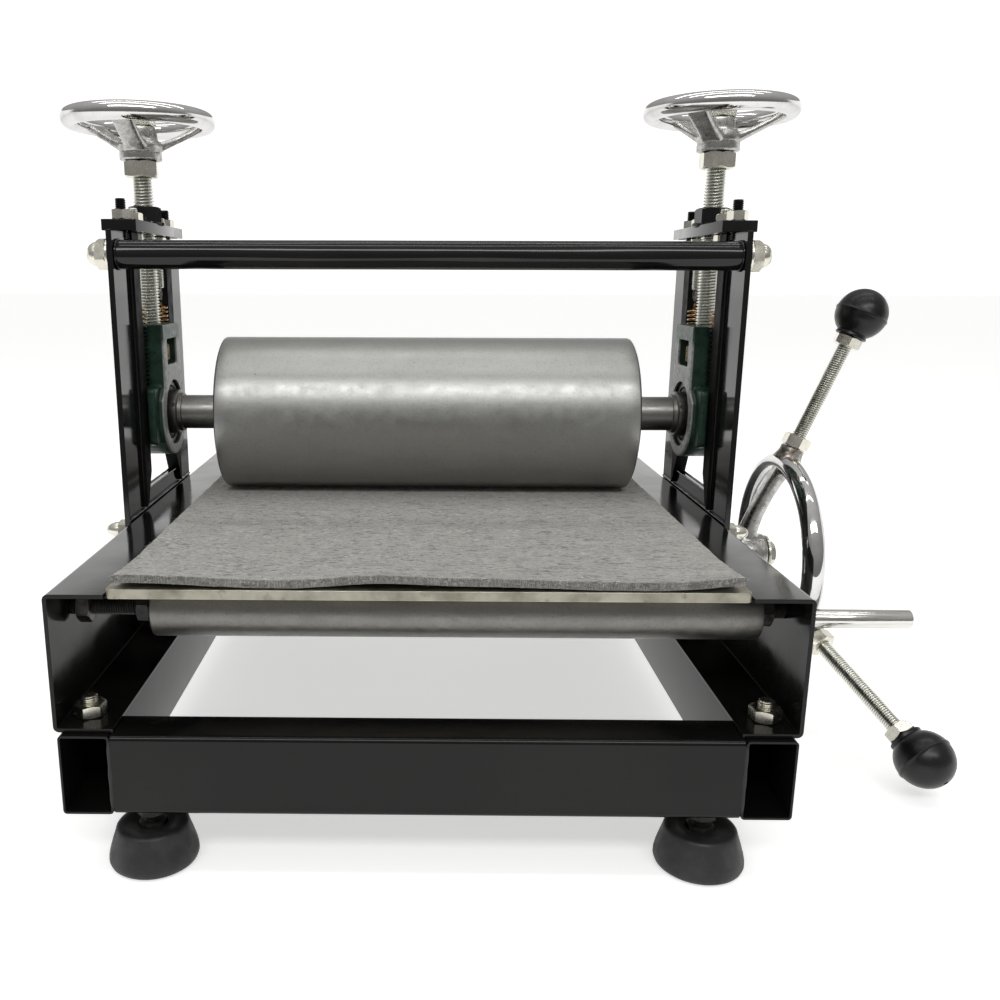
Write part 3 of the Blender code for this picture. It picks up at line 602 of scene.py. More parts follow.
def web(path, wide, thick, across):
    """A flat bar with eased corners along a path; wide and thick are half sizes down its length."""
    points = []
    faces = []
    across = Vector(across).normalized()
    for i, p in enumerate(path):
        ahead = (path[min(i + 1, len(path) - 1)] - path[max(i - 1, 0)]).normalized()
        side = (across - ahead * across.dot(ahead)).normalized()
        other = ahead.cross(side)
        t = i / (len(path) - 1)
        w, h = along(wide, t), along(thick, t)
        loop = rounded(w, h, h * 0.7, 3)
        n = len(loop)
        for u, v in loop:
            points.append(p + side * u + other * v)
        if i:
            faces += band(range((i - 1) * n, i * n), range(i * n, (i + 1) * n))
    faces.append(tuple(range(n - 1, -1, -1)))
    faces.append(tuple(range(len(points) - n, len(points))))
    return points, faces


def nut(axes, centre, flats, low, high, bore, phase=0.0):
    """A hexagon nut or bolt head with its corners turned off at both faces."""
    n = 48
    face = flats / 2 * 0.955

    def corner(a):
        return flats / 2 / math.cos((a - phase) % (math.pi / 3) - math.pi / 6)

    def fall(a):
        return max(0.0, (corner(a) - face)) * 0.55

    points = []
    rows = []
    for kind in range(6):
        rows.append(list(range(len(points), len(points) + n)))
        for i in range(n):
            a = phase + 2 * math.pi * i / n
            r = (bore, face, corner(a), corner(a), face, bore)[kind]
            w = (low, low, low + fall(a), high - fall(a), high, high)[kind]
            points.append(polar(axes, centre, r, a, w))
    faces = []
    for k in range(6):
        faces += band(rows[k], rows[(k + 1) % 6])
    return points, faces


def thread(axes, centre, major, low, high, pitch, n=24):
    """Threaded rod: a true helix, chamfered at both ends."""
    minor = major - 0.6 * pitch
    shape = ((0.0, major), (0.14, major), (0.5, minor), (0.64, minor))
    turns = int((high - low) / pitch) + 2
    rows = turns * 4
    points = []
    for j in range(rows):
        part, r = shape[j % 4]
        for i in range(n):
            a = 2 * math.pi * i / n
            w = low - pitch + pitch * (j // 4 + part + i / n)
            w = min(max(w, low), high)
            q = min(r, minor * 0.96 + 1.1 * min(w - low, high - w))
            points.append(polar(axes, centre, q, a, w))
    faces = []
    for j in range(rows - 1):
        for i in range(n - 1):
            faces.append((j * n + i, j * n + i + 1, (j + 1) * n + i + 1, (j + 1) * n + i))
        if j + 5 < rows:
            faces.append((j * n + n - 1, (j + 4) * n, (j + 5) * n, (j + 1) * n + n - 1))
    for w in (low, high):
        start = len(points)
        points += [at(axes, centre, u, v, w) for u, v in circle(minor * 0.97, n)]
        loop = tuple(range(start, start + n))
        faces.append(loop if w == high else tuple(reversed(loop)))
    return points, faces


# ---------------------------------------------------------------- pieces

def outward(points, faces):
    volume = 0.0
    for face in faces:
        a = points[face[0]]
        for i in range(1, len(face) - 1):
            volume += a.dot(points[face[i]].cross(points[face[i + 1]]))
    return faces if volume > 0 else [tuple(reversed(f)) for f in faces]


def mesh_of(name, shapes):
    """One mesh from several (shape, material) pairs."""
    points = []
    faces = []
    slots = []
    mats = []
    for (p, f), mat in shapes:
        if mat not in mats:
            mats.append(mat)
        f = outward([Vector(q) for q in p], f)
        start = len(points)
        points += [((q[0] - CENTRE) * MM, q[1] * MM, q[2] * MM) for q in p]
        faces += [tuple(start + k for k in face) for face in f]
        slots += [mats.index(mat)] * len(f)
    mesh = bpy.data.meshes.new(name)
    mesh.from_pydata(points, [], faces)
    for mat in mats:
        mesh.materials.append(mat)
    mesh.polygons.foreach_set("material_index", slots)
    mesh.update()
    return mesh


def linked(name, data):
    obj = bpy.data.objects.new(name, data)
    bpy.context.scene.collection.objects.link(obj)
    return obj


def piece(name, shapes, body, nodes=(), bevel=0.0, angle=35.0):
    obj = linked(name, mesh_of(name, shapes))
    obj.data.shade_smooth()
    obj.data.set_sharp_from_angle(angle=math.radians(angle))
    if bevel:
        mod = obj.modifiers.new("edge", "BEVEL")
        mod.width = bevel * MM
        mod.segments = 3
        mod.limit_method = "ANGLE"
        mod.angle_limit = math.radians(angle)
        mod.harden_normals = True
    settle(obj, body, nodes)
    return obj


def stand_in(node, ending, shapes, body, bevel=0.0, angle=35.0):
    """A piece that replaces the CAD node it is named after."""
    return piece(node + "_" + ending, shapes, body, [node], bevel, angle)


def settle(obj, body, nodes=()):
    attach(obj, body)
    if nodes:
        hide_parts(*nodes)


def cast(name, shapes, mat, voxel, rounds, body, node, bore=None, sharp=None):
    """Shapes run together into one casting with filleted junctions; bore is cut from it, if given."""
    obj = linked(name, mesh_of(name, [(s, mat) for s in shapes]))
    melt = obj.modifiers.new("melt", "REMESH")
    melt.mode = "VOXEL"
    melt.voxel_size = voxel * MM
    ease = obj.modifiers.new("ease", "SMOOTH")
    ease.iterations = rounds
    ease.factor = 0.5
    if bore:
        hole = linked("bore_tool", mesh_of("bore_tool", [(bore, mat)]))
        cut = obj.modifiers.new("bore", "BOOLEAN")
        cut.operation = "DIFFERENCE"
        cut.solver = "EXACT"
        cut.object = hole
    bpy.context.view_layer.update()
    graph = bpy.context.evaluated_depsgraph_get()
    made = bpy.data.meshes.new_from_object(obj.evaluated_get(graph))
    obj.modifiers.clear()
    obj.data = made
    if bore:
        bpy.data.objects.remove(hole)
    made.materials.clear()
    made.materials.append(mat)
    made.shade_smooth()
    if sharp:
        made.set_sharp_from_angle(angle=math.radians(sharp))
    settle(obj, body, [node])


# Base: rectangular tube, side tubes open at both ends.
for side, s in SIDES:
    c = (s * 199.0, 0, 65.0)
    shape = tube(Y, c, rounded(25, 15, 2.4), rounded(23.5, 13.5, 1.1), -267, 267)
    fill = prism(Z, (s * 199.5, 0, 0), rounded(14.0, 262.6, 1, 2), 90.06, 90.26)
    stand_in("base_tube_" + side, "paint", [(shape, BASE_PAINT)], "frame", 0.35)
    piece("joint_filler_" + side, [(fill, SATIN)], "frame", ())
for end, e in ENDS:
    c = (0, e * 252.0, 65.0)
    shape = tube(X, c, rounded(15, 25, 3.2), rounded(13, 23, 1.4), -183.7, 183.7)
    shapes = [(shape, BASE_PAINT)]
    for s in (-1, 1):
        # Ground weld along the joint with the side tube.
        path = [
            (s * 184.6, e * (267.0 + 0.25 * noise.noise((0, 0, z * 0.13))) - e * 1.2, z)
            for z in range(43, 89, 2)
        ]
        shapes.append((pipe(path, [1.2, 1.7, 1.5, 1.8, 1.4, 1.7, 1.2], 10), PAINT))
        bead = [
            (s * (183.4 + 0.5 * noise.noise((y * 0.21, 3, 0))), y, 41.2)
            for y in np.arange(e * 252 - 13, e * 252 + 14, 1.5)
        ]
        shapes.append((pipe(bead, [1.3, 1.9, 1.5, 2.0, 1.3], 8), PAINT))
    stand_in("base_cross_" + end, "paint", shapes, "frame", 0.35)


# Feet: rubber pads on threaded studs, with the base bolts above them.
def foot_profile():
    rows = [
        (0, 0), (22.0, 0), (24.6, 0.4), (26.2, 1.6), (27.0, 3.6), (26.9, 6.0), (26.2, 9.5), (24.2, 16.0),
    ]
    rows += [
        (22.4, 21.4), (21.8, 23.6), (21.0, 24.7), (19.6, 25.0), (14.0, 24.8), (13.2, 24.2), (9.0, 24.2),
        (8.6, 19.0), (0, 19.0),
    ]
    return rows


for end, e in ENDS:
    for side, s in SIDES:
        c = (s * 167.0, e * 248.0, 0)
        name = end + "_" + side
        pad = lathe(Z, c, foot_profile(), 72)
        stand_in("foot_pad_" + name, "rubber", [(pad, RUBBER)], "frame", 0, 50)
        shapes = [
            (thread(Z, c, 5.0, 19.5, 52.0, 1.5), BLACKENED),
            (nut(Z, c, 17.0, 31.7, 39.7, 4.4, 0.2), BLACKENED),
            (nut(Z, c, 15.0, 19.3, 26.5, 4.4, 0.5), BLACKENED),
        ]
        stand_in("foot_stud_" + name, "zinc", shapes, "frame", 0, 30)

        c = (s * 202.0, e * 243.0, 0)
        shapes = [
            (thread(Z, c, 5.0, 84.7, 105.2, 1.5), ZINC),
            (nut(Z, c, 17.0, 93.1, 100.8, 4.4, 0.62 * s), ZINC),
            (nut(Z, c, 17.0, 81.3, 87.7, 0.5, math.pi / 6), ZINC),
        ]
        stand_in("base_bolt_" + name, "zinc", shapes, "frame", 0, 30)


# Channels: bent sheet.
def channel_loop(s):
    t, outer_r, web, tip, low, top = 2.5, 3.5, 217.4, 182.5, 90.3, 174.6
    inner_r = outer_r - t
    turns = [math.radians(15 * i) for i in range(7)]
    loop = [(low, tip)]
    loop += [(low + outer_r * (1 - math.cos(a)), web - outer_r * (1 - math.sin(a))) for a in turns]
    loop += [(top - outer_r * (1 - math.sin(a)), web - outer_r * (1 - math.cos(a))) for a in turns]
    loop += [(top, tip), (top - t, tip)]
    loop += [(top - outer_r + inner_r * math.cos(a), web - outer_r + inner_r * math.sin(a)) for a in turns]
    loop += [(low + outer_r - inner_r * math.sin(a), web - outer_r + inner_r * math.cos(a)) for a in turns]
    loop += [(low + t, tip)]
    return [(z, s * x) for z, x in loop]


for side, s in SIDES:
    sheet = prism(Y, (0, 0, 0), channel_loop(s), -263, 263)
    stand_in("channel_" + side, "paint", [(sheet, BASE_PAINT)], "frame", 0.3)


# Side frames: plate with guide bars.
for side, s in SIDES:
    c = (s * FRAME_X, 0, 0)
    outline = [(-92, 95), (92, 95), (92, 381), (50, 381), (50, 188), (-50, 188), (-50, 381), (-92, 381)]
    shapes = [(prism(X, c, outline, -2, 2), PAINT)]
    for e in (-1, 1):
        bar = [
            (e * 38.3, 202), (e * 38.3, 381), (e * 54, 381), (e * 54, 176), (e * 49, 180),
            (e * 45.3, 189),
        ]
        shapes.append((prism(X, c, bar, -5, 5), SATIN))
        for f in (-1, 1):
            line = [(s * FRAME_X + f * 2.4, e * 54.2, z) for z in range(180, 381, 4)]
            line = [(x + 0.25 * noise.noise((z * 0.17, f, e)), y, z) for x, y, z in line]
            shapes.append((pipe(line, 1.1, 8), PAINT))
            run = [
                (s * FRAME_X + f * 2.6, y, 188.2 - 0.5 * abs(noise.noise((y * 0.2, f, 1))))
                for y in range(-44, 45, 4)
            ]
            if e > 0:
                shapes.append((pipe(run, 0.9, 8), PAINT))
    foot = [(s * 217.8, y, 174.7 + 0.35 * noise.noise((y * 0.11, s, 0))) for y in range(-92, 93, 3)]
    shapes.append((pipe(foot, [1.0, 1.3, 1.0, 1.4, 1.1, 1.3, 1.0], 8), PAINT))
    stand_in("side_frame_" + side, "paint", shapes, "frame", 0.45, 40)


# Dome nuts.
def dome_nut(node, s, y, z, flats, stem, stem_to, pitch):
    face = 2.3
    h = flats / 2
    c = (s * FRAME_X, y, z)
    axes = outboard(s)
    wide, lip = h * 1.2, h * 1.22
    washer = [
        (stem, face), (wide, face), (lip, face + 0.3), (lip, face + 1.5), (wide, face + 1.8),
        (stem, face + 1.8),
    ]
    shapes = [
        (lathe(axes, c, washer, 48, True), ZINC),
        (nut(axes, c, flats, face + 1.8, face + 1.8 + flats * 0.42, stem * 0.9, 0.35), ZINC),
    ]
    top = face + 1.8 + flats * 0.42
    rise = face + 17.4 - top
    r = h * 0.9
    dome = [(r, top - 1.0), (r, top)]
    for i in range(1, 10):
        a = math.radians(10 * i)
        dome.append((r * math.cos(a) if i < 9 else 0, top + rise * math.sin(a)))
    shapes.append((lathe(axes, c, dome, 40), ZINC))
    shapes.append((thread(axes, c, stem, stem_to, face + 2, pitch), ZINC))
    stand_in(node, "zinc", shapes, "frame", 0, 32)


for side, s in SIDES:
    dome_nut("tie_bar_nut_" + side, s, TIE_BAR_Y, TIE_BAR_Z, 19.0, 6.0, -1.5, 1.75)
    for end, e in ENDS:
        dome_nut("frame_bolt_" + end + "_" + side, s, e * 80.0, 165.0, 13.0, 4.0, -9.0, 1.25)


def drips(r, w, a):
    """Paint that gathered in long shallow waves round the tie bar."""
    return r + 0.12 * noise.noise((math.cos(a) * 3.2, math.sin(a) * 3.2, w * 0.012))


rows = [(0, -217.7), (9.4, -217.7), (9.9, -217.2)] + [(10.0, w) for w in range(-216, 217, 6)]
rows += [(9.9, 217.2), (9.4, 217.7), (0, 217.7)]
shapes = [(lathe(X, (0, TIE_BAR_Y, TIE_BAR_Z), rows, 64, radius_at=drips), PAINT)]
for s in (-1, 1):
    shapes.append((ring(X, (s * 217.2, TIE_BAR_Y, TIE_BAR_Z), 10.0, 0.9, 48, 10), PAINT))
stand_in("tie_bar", "paint", shapes, "frame", 0, 50)


# Caps.
for side, s in SIDES:
    x = s * FRAME_X
    c = (x, 0, 0)
    plate = prism(Z, c, rounded(12.5, 68, 0.8, 2), 381.3, 389.3)
    stand_in("cap_" + side, "paint", [(plate, PAINT)], "frame", 0.5)
    shapes = [(nut(Z, c, 24.0, 389.3, 402.2, 7.9, 0.25 + 0.4 * s), PAINT)]
    weld = [
        (x + 14.2 * math.cos(a), 14.2 * math.sin(a), 389.6 + 0.5 * noise.noise((a * 2, s, 0)))
        for a in np.arange(0, 6.3, 0.3)
    ]
    shapes.append((pipe(weld, [1.2, 1.7, 1.3, 1.8, 1.4, 1.7, 1.2], 8), PAINT))
    piece("screw_nut_" + side + "_paint", shapes, "frame", (), 0, 30)
    shapes = []
    for e in (-1, 1):
        shapes.append((thread(Z, (x, e * 60.0, 0), 4.0, 376.0, 403.8, 1.25), PAINT))
        shapes.append((nut(Z, (x, e * 60.0, 0), 13.0, 389.4, 396.3, 3.5, 0.25 * e + 0.1), ZINC))
        y = e * SPRING_Y
        shapes.append((thread(Z, (x, y, 0), 4.0, 341.0, 399.2, 1.25), THREAD))
        shapes.append((nut(Z, (x, y, 0), 13.0, 389.4, 395.8, 3.5, 0.7 * e), ZINC))
        shapes.append((nut(Z, (x, y, 0), 13.0, 374.5, 381.0, 3.5, 0.4 * e), ZINC))
        eye = [(x, y, 342.0)]
        for i in range(15):
            a = math.radians(90 - 24 * i)
            eye.append((x + 0.11 * i - 0.8, y + 4.4 * math.cos(a), 336.5 + 4.4 * math.sin(a)))
        shapes.append((pipe(smooth_path(eye, 3), 1.5, 12), OILED))
    piece("cap_fasteners_" + side + "_zinc", shapes, "frame", (), 0, 30)


# Bearing carriages.
for side, s in SIDES:
    x = s * FRAME_X
    c = (x, 0, 0)
    body = "carriage"
    shapes = []
    for f in (-1, 1):
        lip = [
            (-44.5, 226), (-43.3, 223.2), (-40.5, 222), (40.5, 222), (43.3, 223.2), (44.5, 226),
            (44.5, 264), (42.5, 266), (-42.5, 266), (-44.5, 264),
        ]
        shapes.append(prism(X, c, lip, f * 9 - 3, f * 9 + 3))
    shapes.append(prism(X, c, [(-37.6, 223), (37.6, 223), (37.6, 265), (-37.6, 265)], -8, 8))
    r = 34.3
    arc = [
        (r * math.cos(math.radians(180 + 10 * i)), PRESS_Z + r * math.sin(math.radians(180 + 10 * i)))
        for i in range(19)
    ]
    outline = [(25.5, 264)] + [(-25.5, 264), (-34.3, 256)] + arc + [(34.3, 256)]
    shapes.append(prism(X, c, outline, -16, 16))
    for f in (-1, 1):
        leg = [(f * 25.5, 262), (f * 25.5, 313.5), (f * 14, 313.5), (f * 14, 262)]
        shapes.append(prism(X, c, leg if f > 0 else leg[::-1], -16, 16))
    shapes.append(prism(X, c, [(-25.5, 302), (25.5, 302), (25.5, 313.5), (-25.5, 313.5)], -16, 16))
    shapes.append(prism(X, c, [(-25.5, 262), (25.5, 262), (25.5, 282), (-25.5, 282)], -16, 16))
    bore = lathe(X, (x, 0, PRESS_Z), [(26.0, -30), (26.0, 30)], 64)
    node = "bearing_housing_" + side
    cast(node + "_casting", shapes, GREEN, 0.9, 4, body, node, bore, 50)

    axes = tuple(-v for v in outboard(s))
    o = (x, 0, PRESS_Z)
    race = [(21.8, -13.5), (25.2, -13.5), (25.7, -13.0), (25.7, 12.6), (25.2, 13.1), (21.8, 13.1)]
    shapes = [(lathe(axes, o, race, 72, True), DARK)]
    seal = [(16.5, -12.6), (22.0, -12.6), (22.0, 11.6), (20.6, 12.5), (18.2, 12.9), (16.5, 12.0)]
    shapes.append((lathe(axes, o, seal, 72, True), RUBBER))
    inner = [
        (13.7, -15.5), (17.0, -15.5), (17.4, -15.0), (17.4, 14.4), (17.7, 15.0), (17.7, 19.9),
        (17.0, 20.7), (15.4, 20.9), (15.2, 23.7), (13.7, 24.0),
    ]
    shapes.append((lathe(axes, o, inner, 72, True), DARK))
    grub = [(0, 17.0), (1.2, 17.0), (1.3, 17.4), (2.0, 17.6), (2.0, 17.9), (0, 17.9)]
    for a in (0.6, 2.7):
        d = Vector((0, math.cos(a), math.sin(a)))
        base = Vector(o) + axes[2] * 18.0
        shapes.append((lathe(axes_along(d), base, grub, 20), BLACKENED))
    stand_in("bearing_insert_" + side, "races", shapes, body, 0, 30)


# Upper roller.
rows = [
    (0, -228), (12.6, -228), (13.5, -227.1), (13.5, -162.5), (15.0, -161.3), (57.6, -ROLLER_HALF),
    (58.6, -160.6), (59.6, -159.9), (60.0, -158.9),
]
rows += [(60.0, w) for w in range(-150, 1, 30)]
rows += [(q, -w) for q, w in reversed(rows[:-1])]
barrel = lathe(X, (0, 0, PRESS_Z), rows[3:-3], 128)
ends = [(0, -228), (12.6, -228), (13.5, -227.1), (13.5, -161.9)]
shapes = [
    (barrel, ROLLER),
    (lathe(X, (0, 0, PRESS_Z), ends, 64), SHAFT),
    (lathe(X, (0, 0, PRESS_Z), [(q, -w) for q, w in reversed(ends)], 64), SHAFT),
]
stand_in("upper_roller", "steel", shapes, "pressure_roller", 0, 32)


# Drive roller, bearings and support rollers.
rows = [
    (0, -242), (11.7, -242), (12.5, -241.2), (12.5, -178), (44.2, -178), (45, -177.2), (45, 0),
    (45, 177.2), (44.2, 178), (12.5, 178), (12.5, 281.4), (0, 281.4),
]
washer = [(3, 281.7), (14.8, 281.7), (15, 282), (15, 283.5), (14.8, 283.8), (3, 283.8)]
shapes = [
    (lathe(X, (0, 0, DRIVE_Z), rows, 96), SHAFT),
    (lathe(X, (0, 0, DRIVE_Z), washer, 48, True), ZINC),
    (nut(X, (0, 0, DRIVE_Z), 17.0, 283.8, 289.8, 0.3, 0.3), ZINC),
]
stand_in("drive_roller", "steel", shapes, "drive", 0, 32)

for side, s in SIDES:
    axes = outboard(s)
    c = (s * 222.3, 0, DRIVE_Z)
    ear = [math.radians(-70 + 10 * i) for i in range(15)]
    waist = [math.radians(55 + 7 * i) for i in range(11)]
    outline = [(45.0 + 13.0 * math.cos(a), 13.0 * math.sin(a)) for a in ear]
    outline += [(33.0 * math.cos(a), 33.0 * math.sin(a)) for a in waist]
    outline += [(-u, -v) for u, v in outline]
    shapes = [prism(axes, c, outline, 0.2, 6.0)]
    shapes.append(lathe(axes, c, [(31.0, 3.0), (29.0, 12.0), (27.5, 14.0), (26.0, 14.4), (25.4, 12.0)], 64))
    shapes = [(q, GREEN) for q in shapes]
    race = [(21.5, 5), (25.2, 5), (25.2, 13.6), (24.6, 14.0), (21.5, 14.0)]
    collar = [(12.65, 2), (16.5, 2), (16.5, 15.6), (16.1, 16.0), (12.65, 16.0)]
    shapes.append((lathe(axes, c, race, 64, True), OILED))
    shapes.append((lathe(axes, c, [(16.0, 6), (21.8, 6), (21.8, 12.8), (16.0, 13.2)], 64, True), RUBBER))
    shapes.append((lathe(axes, c, collar, 64, True), OILED))
    for e in (-1, 1):
        seat = (c[0], e * 45.0, DRIVE_Z)
        shapes.append((nut(axes, seat, 15.0, 7.6, 12.9, 0.3, 0.4), ZINC))
        shapes.append((lathe(axes, seat, [(3, 6.1), (9.8, 6.1), (9.8, 7.5), (3, 7.5)], 40, True), ZINC))
    stand_in("drive_bearing_" + side, "unit", shapes, "frame", 0.4, 38)

for end, e in ENDS:
    c = (0, e * 223.0, 154.2)
    rows = [
        (5.1, -164.4), (16.0, -164.4), (17.0, -163.9), (17.5, -163.0), (17.5, 196.4), (17.2, 197.2),
        (16.2, 197.6), (5.1, 197.6),
    ]
    sleeve = lathe(X, c, rows, 80, True)
    stand_in("support_roller_" + end, "steel", [(sleeve, DARK)], "support_" + end, 0, 32)
    core = [(0, -168), (4.95, -168), (4.95, 198.6), (0, 198.6)]
    shapes = [
        (thread(X, c, 5.0, -217.0, -166.0, 1.5), BLACKENED),
        (lathe(X, c, core, 32), BLACKENED),
        (thread(X, c, 5.0, 198.0, 217.0, 1.5), BLACKENED),
    ]
    for k, (a, b) in enumerate(((-211.0, -202.5), (-174.6, -166.6), (198.6, 206.6))):
        shapes.append((nut(X, c, 17.0, a, b, 4.4, 0.3 + 0.35 * k), OILED if k != 1 else BLACKENED))
    stand_in("support_axle_" + end, "rod", shapes, "frame", 0, 30)


# Bed plate.
plate = prism(Z, (0, 0, 0), rounded(181.5, 263, 3.0, 4), 172.0, BED_TOP)
stand_in("bed_plate", "steel", [(plate, BED)], "bed", 0.8)


# Felt blanket: a cut sheet lying on the bed, its front edge a little lifted and wavy.
FELT_LOW_Y, FELT_HIGH_Y, FELT_HALF_X = -263.0, 240.0, 178.0


def felt_lift(x, y):
    """How far the underside stands off the bed, in mm: waves that die out behind the front edge."""
    near = max(0.0, 1 - (y - FELT_LOW_Y) / 62.0) ** 2
    waves = 0.35
    for middle, wide, high in ((-166, 50, 3.1), (-28, 34, 3.1), (34, 52, 1.9), (184, 32, 3.9)):
        waves += high * math.exp(-(((x - middle) / wide) ** 2))
    return near * waves + 0.12


def felt_thick(x, y):
    pinch = math.exp(-((y / 22.0) ** 2))
    soft = noise.noise((x * 0.02, y * 0.02, 0.0)) * 0.25 + noise.noise((x * 0.11, y * 0.11, 4.0)) * 0.16
    return (4.95 + soft) * (1 - pinch) + 4.6 * pinch


def felt_edge(t, k):
    """The ragged line of the cut, in mm."""
    return 0.5 * noise.noise((t * 0.06, k, 0.0)) + 0.35 * noise.noise((t * 0.6, k, 5.0))


nx, ny = 178, 250
points = []
for layer in (0, 1):
    for j in range(ny + 1):
        for i in range(nx + 1):
            u, v = i / nx * 2 - 1, j / ny
            x = u * FELT_HALF_X
            y = FELT_LOW_Y + v * (FELT_HIGH_Y - FELT_LOW_Y)
            rim = min(FELT_HALF_X - abs(x), y - FELT_LOW_Y, FELT_HIGH_Y - y)
            z = BED_TOP + felt_lift(x, y)
            if layer:
                fuzz = 0.3 * noise.noise((x * 0.45, y * 0.45, 2.0)) * min(1.0, abs(y) / 70.0)
                z += felt_thick(x, y) - 0.45 * max(0.0, 1 - rim / 1.6) + fuzz
            if i in (0, nx):
                x += (felt_edge(y, i) - 0.7) * u
            if j == 0:
                y += 0.9 + felt_edge(x, 7)
            if j == ny:
                y -= 0.9 + felt_edge(x, 9)
            points.append(Vector((x, y, z)))
size = (nx + 1) * (ny + 1)
faces = []
for j in range(ny):
    for i in range(nx):
        a = j * (nx + 1) + i
        faces.append((a, a + nx + 1, a + nx + 2, a + 1))
        faces.append((size + a, size + a + 1, size + a + nx + 2, size + a + nx + 1))
rim = [i for i in range(nx + 1)] + [j * (nx + 1) + nx for j in range(1, ny + 1)]
rim += [ny * (nx + 1) + i for i in range(nx - 1, -1, -1)] + [j * (nx + 1) for j in range(ny - 1, 0, -1)]
for k, a in enumerate(rim):
    b = rim[(k + 1) % len(rim)]
    faces.append((a, b, size + b, size + a))
felt = stand_in("felt_blanket", "wool", [((points, faces), FELT)], "bed", 0, 55)

# Loose fibres on the cut edges and the nap.
rng = random.Random(11)


def fibres(name, count, mat, edge_share):
    points = []
    faces = []
    for _ in range(count):
        if rng.random() < edge_share:
            x = rng.uniform(-177.5, 177.5)
            y = FELT_LOW_Y + rng.uniform(0.2, 0.9)
            z = BED_TOP + felt_lift(x, y) + rng.uniform(0.3, 4.9)
            if rng.random() < 0.35:
                x = rng.choice((-1, 1)) * rng.uniform(176.8, 177.6)
                y = rng.uniform(-262, 238)
                z = BED_TOP + felt_lift(x, y) + rng.uniform(0.3, 4.6)
                if abs(y) < 80:
                    continue
            length = rng.uniform(0.8, 2.4)
            rise = rng.uniform(-0.5, 0.6)
        else:
            x = rng.uniform(-177, 177)
            y = rng.uniform(-262, 239)
            if abs(y) < 75:
                continue
            z = BED_TOP + felt_lift(x, y) + felt_thick(x, y) - 0.02
            length = rng.uniform(1.5, 4.0)
            rise = rng.uniform(0.0, 0.5)
        a = rng.uniform(0, 6.283)
        bend = rng.uniform(-1.6, 1.6)
        wide = rng.uniform(0.05, 0.1)
        start = len(points)
        for i in range(4):
            t = i / 3
            d = a + bend * t
            px, py = x + length * t * math.cos(d), y + length * t * math.sin(d)
            pz = z + rise * math.sin(t * 3.0)
            points.append(Vector((px - wide * math.sin(d), py + wide * math.cos(d), pz)))
            points.append(Vector((px + wide * math.sin(d), py - wide * math.cos(d), pz)))
        for i in range(3):
            b = start + 2 * i
            faces.append((b, b + 1, b + 3, b + 2))
    obj = linked(name, mesh_of(name, [((points, faces), mat)]))
    settle(obj, "bed", ())
    return obj


loose = [
    fibres("felt_light_fibres", 5200, LIGHT_FIBRE, 0.25),
    fibres("felt_dark_fibres", 4200, DARK_FIBRE, 0.25),
]


# Pressure screws, handwheels and springs.
SPOKE_WIDE = [9.0, 8.2, 7.6, 7.8, 8.6, 10.5]
SPOKE_THICK = [4.2, 3.2, 2.6, 2.5, 2.8, 3.4]


def dished_wheel(name, c, rim_z, phase, body):
    """Three-spoked handwheel: rough casting under a polished rim."""
    low = rim_z - 28.5
    x = c[0]
    hub = [
        (8.3, low), (15.9, low), (16.0, low + 0.5), (16.0, low + 5.2), (15.2, low + 5.8),
        (15.2, low + 6.6), (16.2, low + 7.4),
    ]
    hub += [
        (16.2, low + 11), (15.0, low + 13.5), (13.1, low + 15), (12.8, low + 23.4), (12.3, low + 24),
        (8.3, low + 24),
    ]
    shapes = [lathe(Z, c, hub, 48, True)]
    spoke = ((12.0, 9.5), (17.0, 11.5), (26, 15.5), (37, 21.0), (45, 25.6), (49.5, 27.7))
    for k in range(3):
        a = phase + 2 * math.pi * k / 3
        path = [(x + r * math.cos(a), r * math.sin(a), low + rise) for r, rise in spoke]
        across = (-math.sin(a), math.cos(a), 0)
        shapes.append(web(smooth_path(path, 5), SPOKE_WIDE, SPOKE_THICK, across))
    shapes.append(ring(Z, (x, 0, rim_z), 50.6, 6.0, 72, 16))
    cast(name + "_casting", shapes, CAST, 0.85, 4, body, name)
    rim = ring(Z, (x, 0, rim_z), 50.75, 6.75, 128, 32)
    piece(name + "_rim", [(rim, CHROME)], body, (), 0, 80)


for side, s in SIDES:
    x = s * FRAME_X
    rim_z = 464.5 if s < 0 else 471.5
    low = rim_z - 28.5
    body = "screw_" + side
    c = (x, 0, 0)
    shapes = [
        (thread(Z, c, 8.0, 291.0, low + 35.0, 2.309, 32), THREAD),
        (nut(Z, c, 24.0, low - 12.3, low - 0.2, 7.2, 0.59 - 0.07 * s), ZINC),
        (nut(Z, c, 22.0, low + 24.2, low + 32.0, 7.2, 0.4), ZINC),
        (nut(Z, c, 24.0, 284.5, 298.0, 7.0, 0.0), BRASS),
    ]
    stand_in("pressure_screw_" + side, "rod", shapes, body, 0, 30)
    phase = math.radians(-90 if s < 0 else -128)
    dished_wheel("handwheel_" + side, c, rim_z, phase, body)

    for end, e in ENDS:
        y = e * SPRING_Y
        path = []
        turns, per, r = 17.5, 20, 5.1
        total = int(turns * per)
        for i in range(total + 1):
            a = 2 * math.pi * i / per
            t = i / total
            z = SPRING_LOW + (SPRING_HIGH - SPRING_LOW) * t
            path.append((x + r * math.sin(a), y - e * r * math.cos(a), z))
        end_y = path[-1][1]
        for u, h in ((0.75, 1.2), (0.4, 2.2), (0.1, 3.2)):
            path.append((x, y + (end_y - y) * u, SPRING_HIGH + h))
        path += [(x, y, SPRING_TOP - 0.2)]
        hook = pipe(path, 0.8, 10)
        name = "return_spring_" + end + "_" + side
        obj = stand_in(name, "wire", [(hook, COPPER)], "frame", 0, 60)
        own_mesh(obj)


# Turning wheel.


def radial(a):
    return Vector((0, -math.sin(a), math.cos(a)))


def on_handle(a, r):
    return Vector((RING_X + (r - RING_R) * math.tan(TILT), 0, DRIVE_Z)) + radial(a) * r


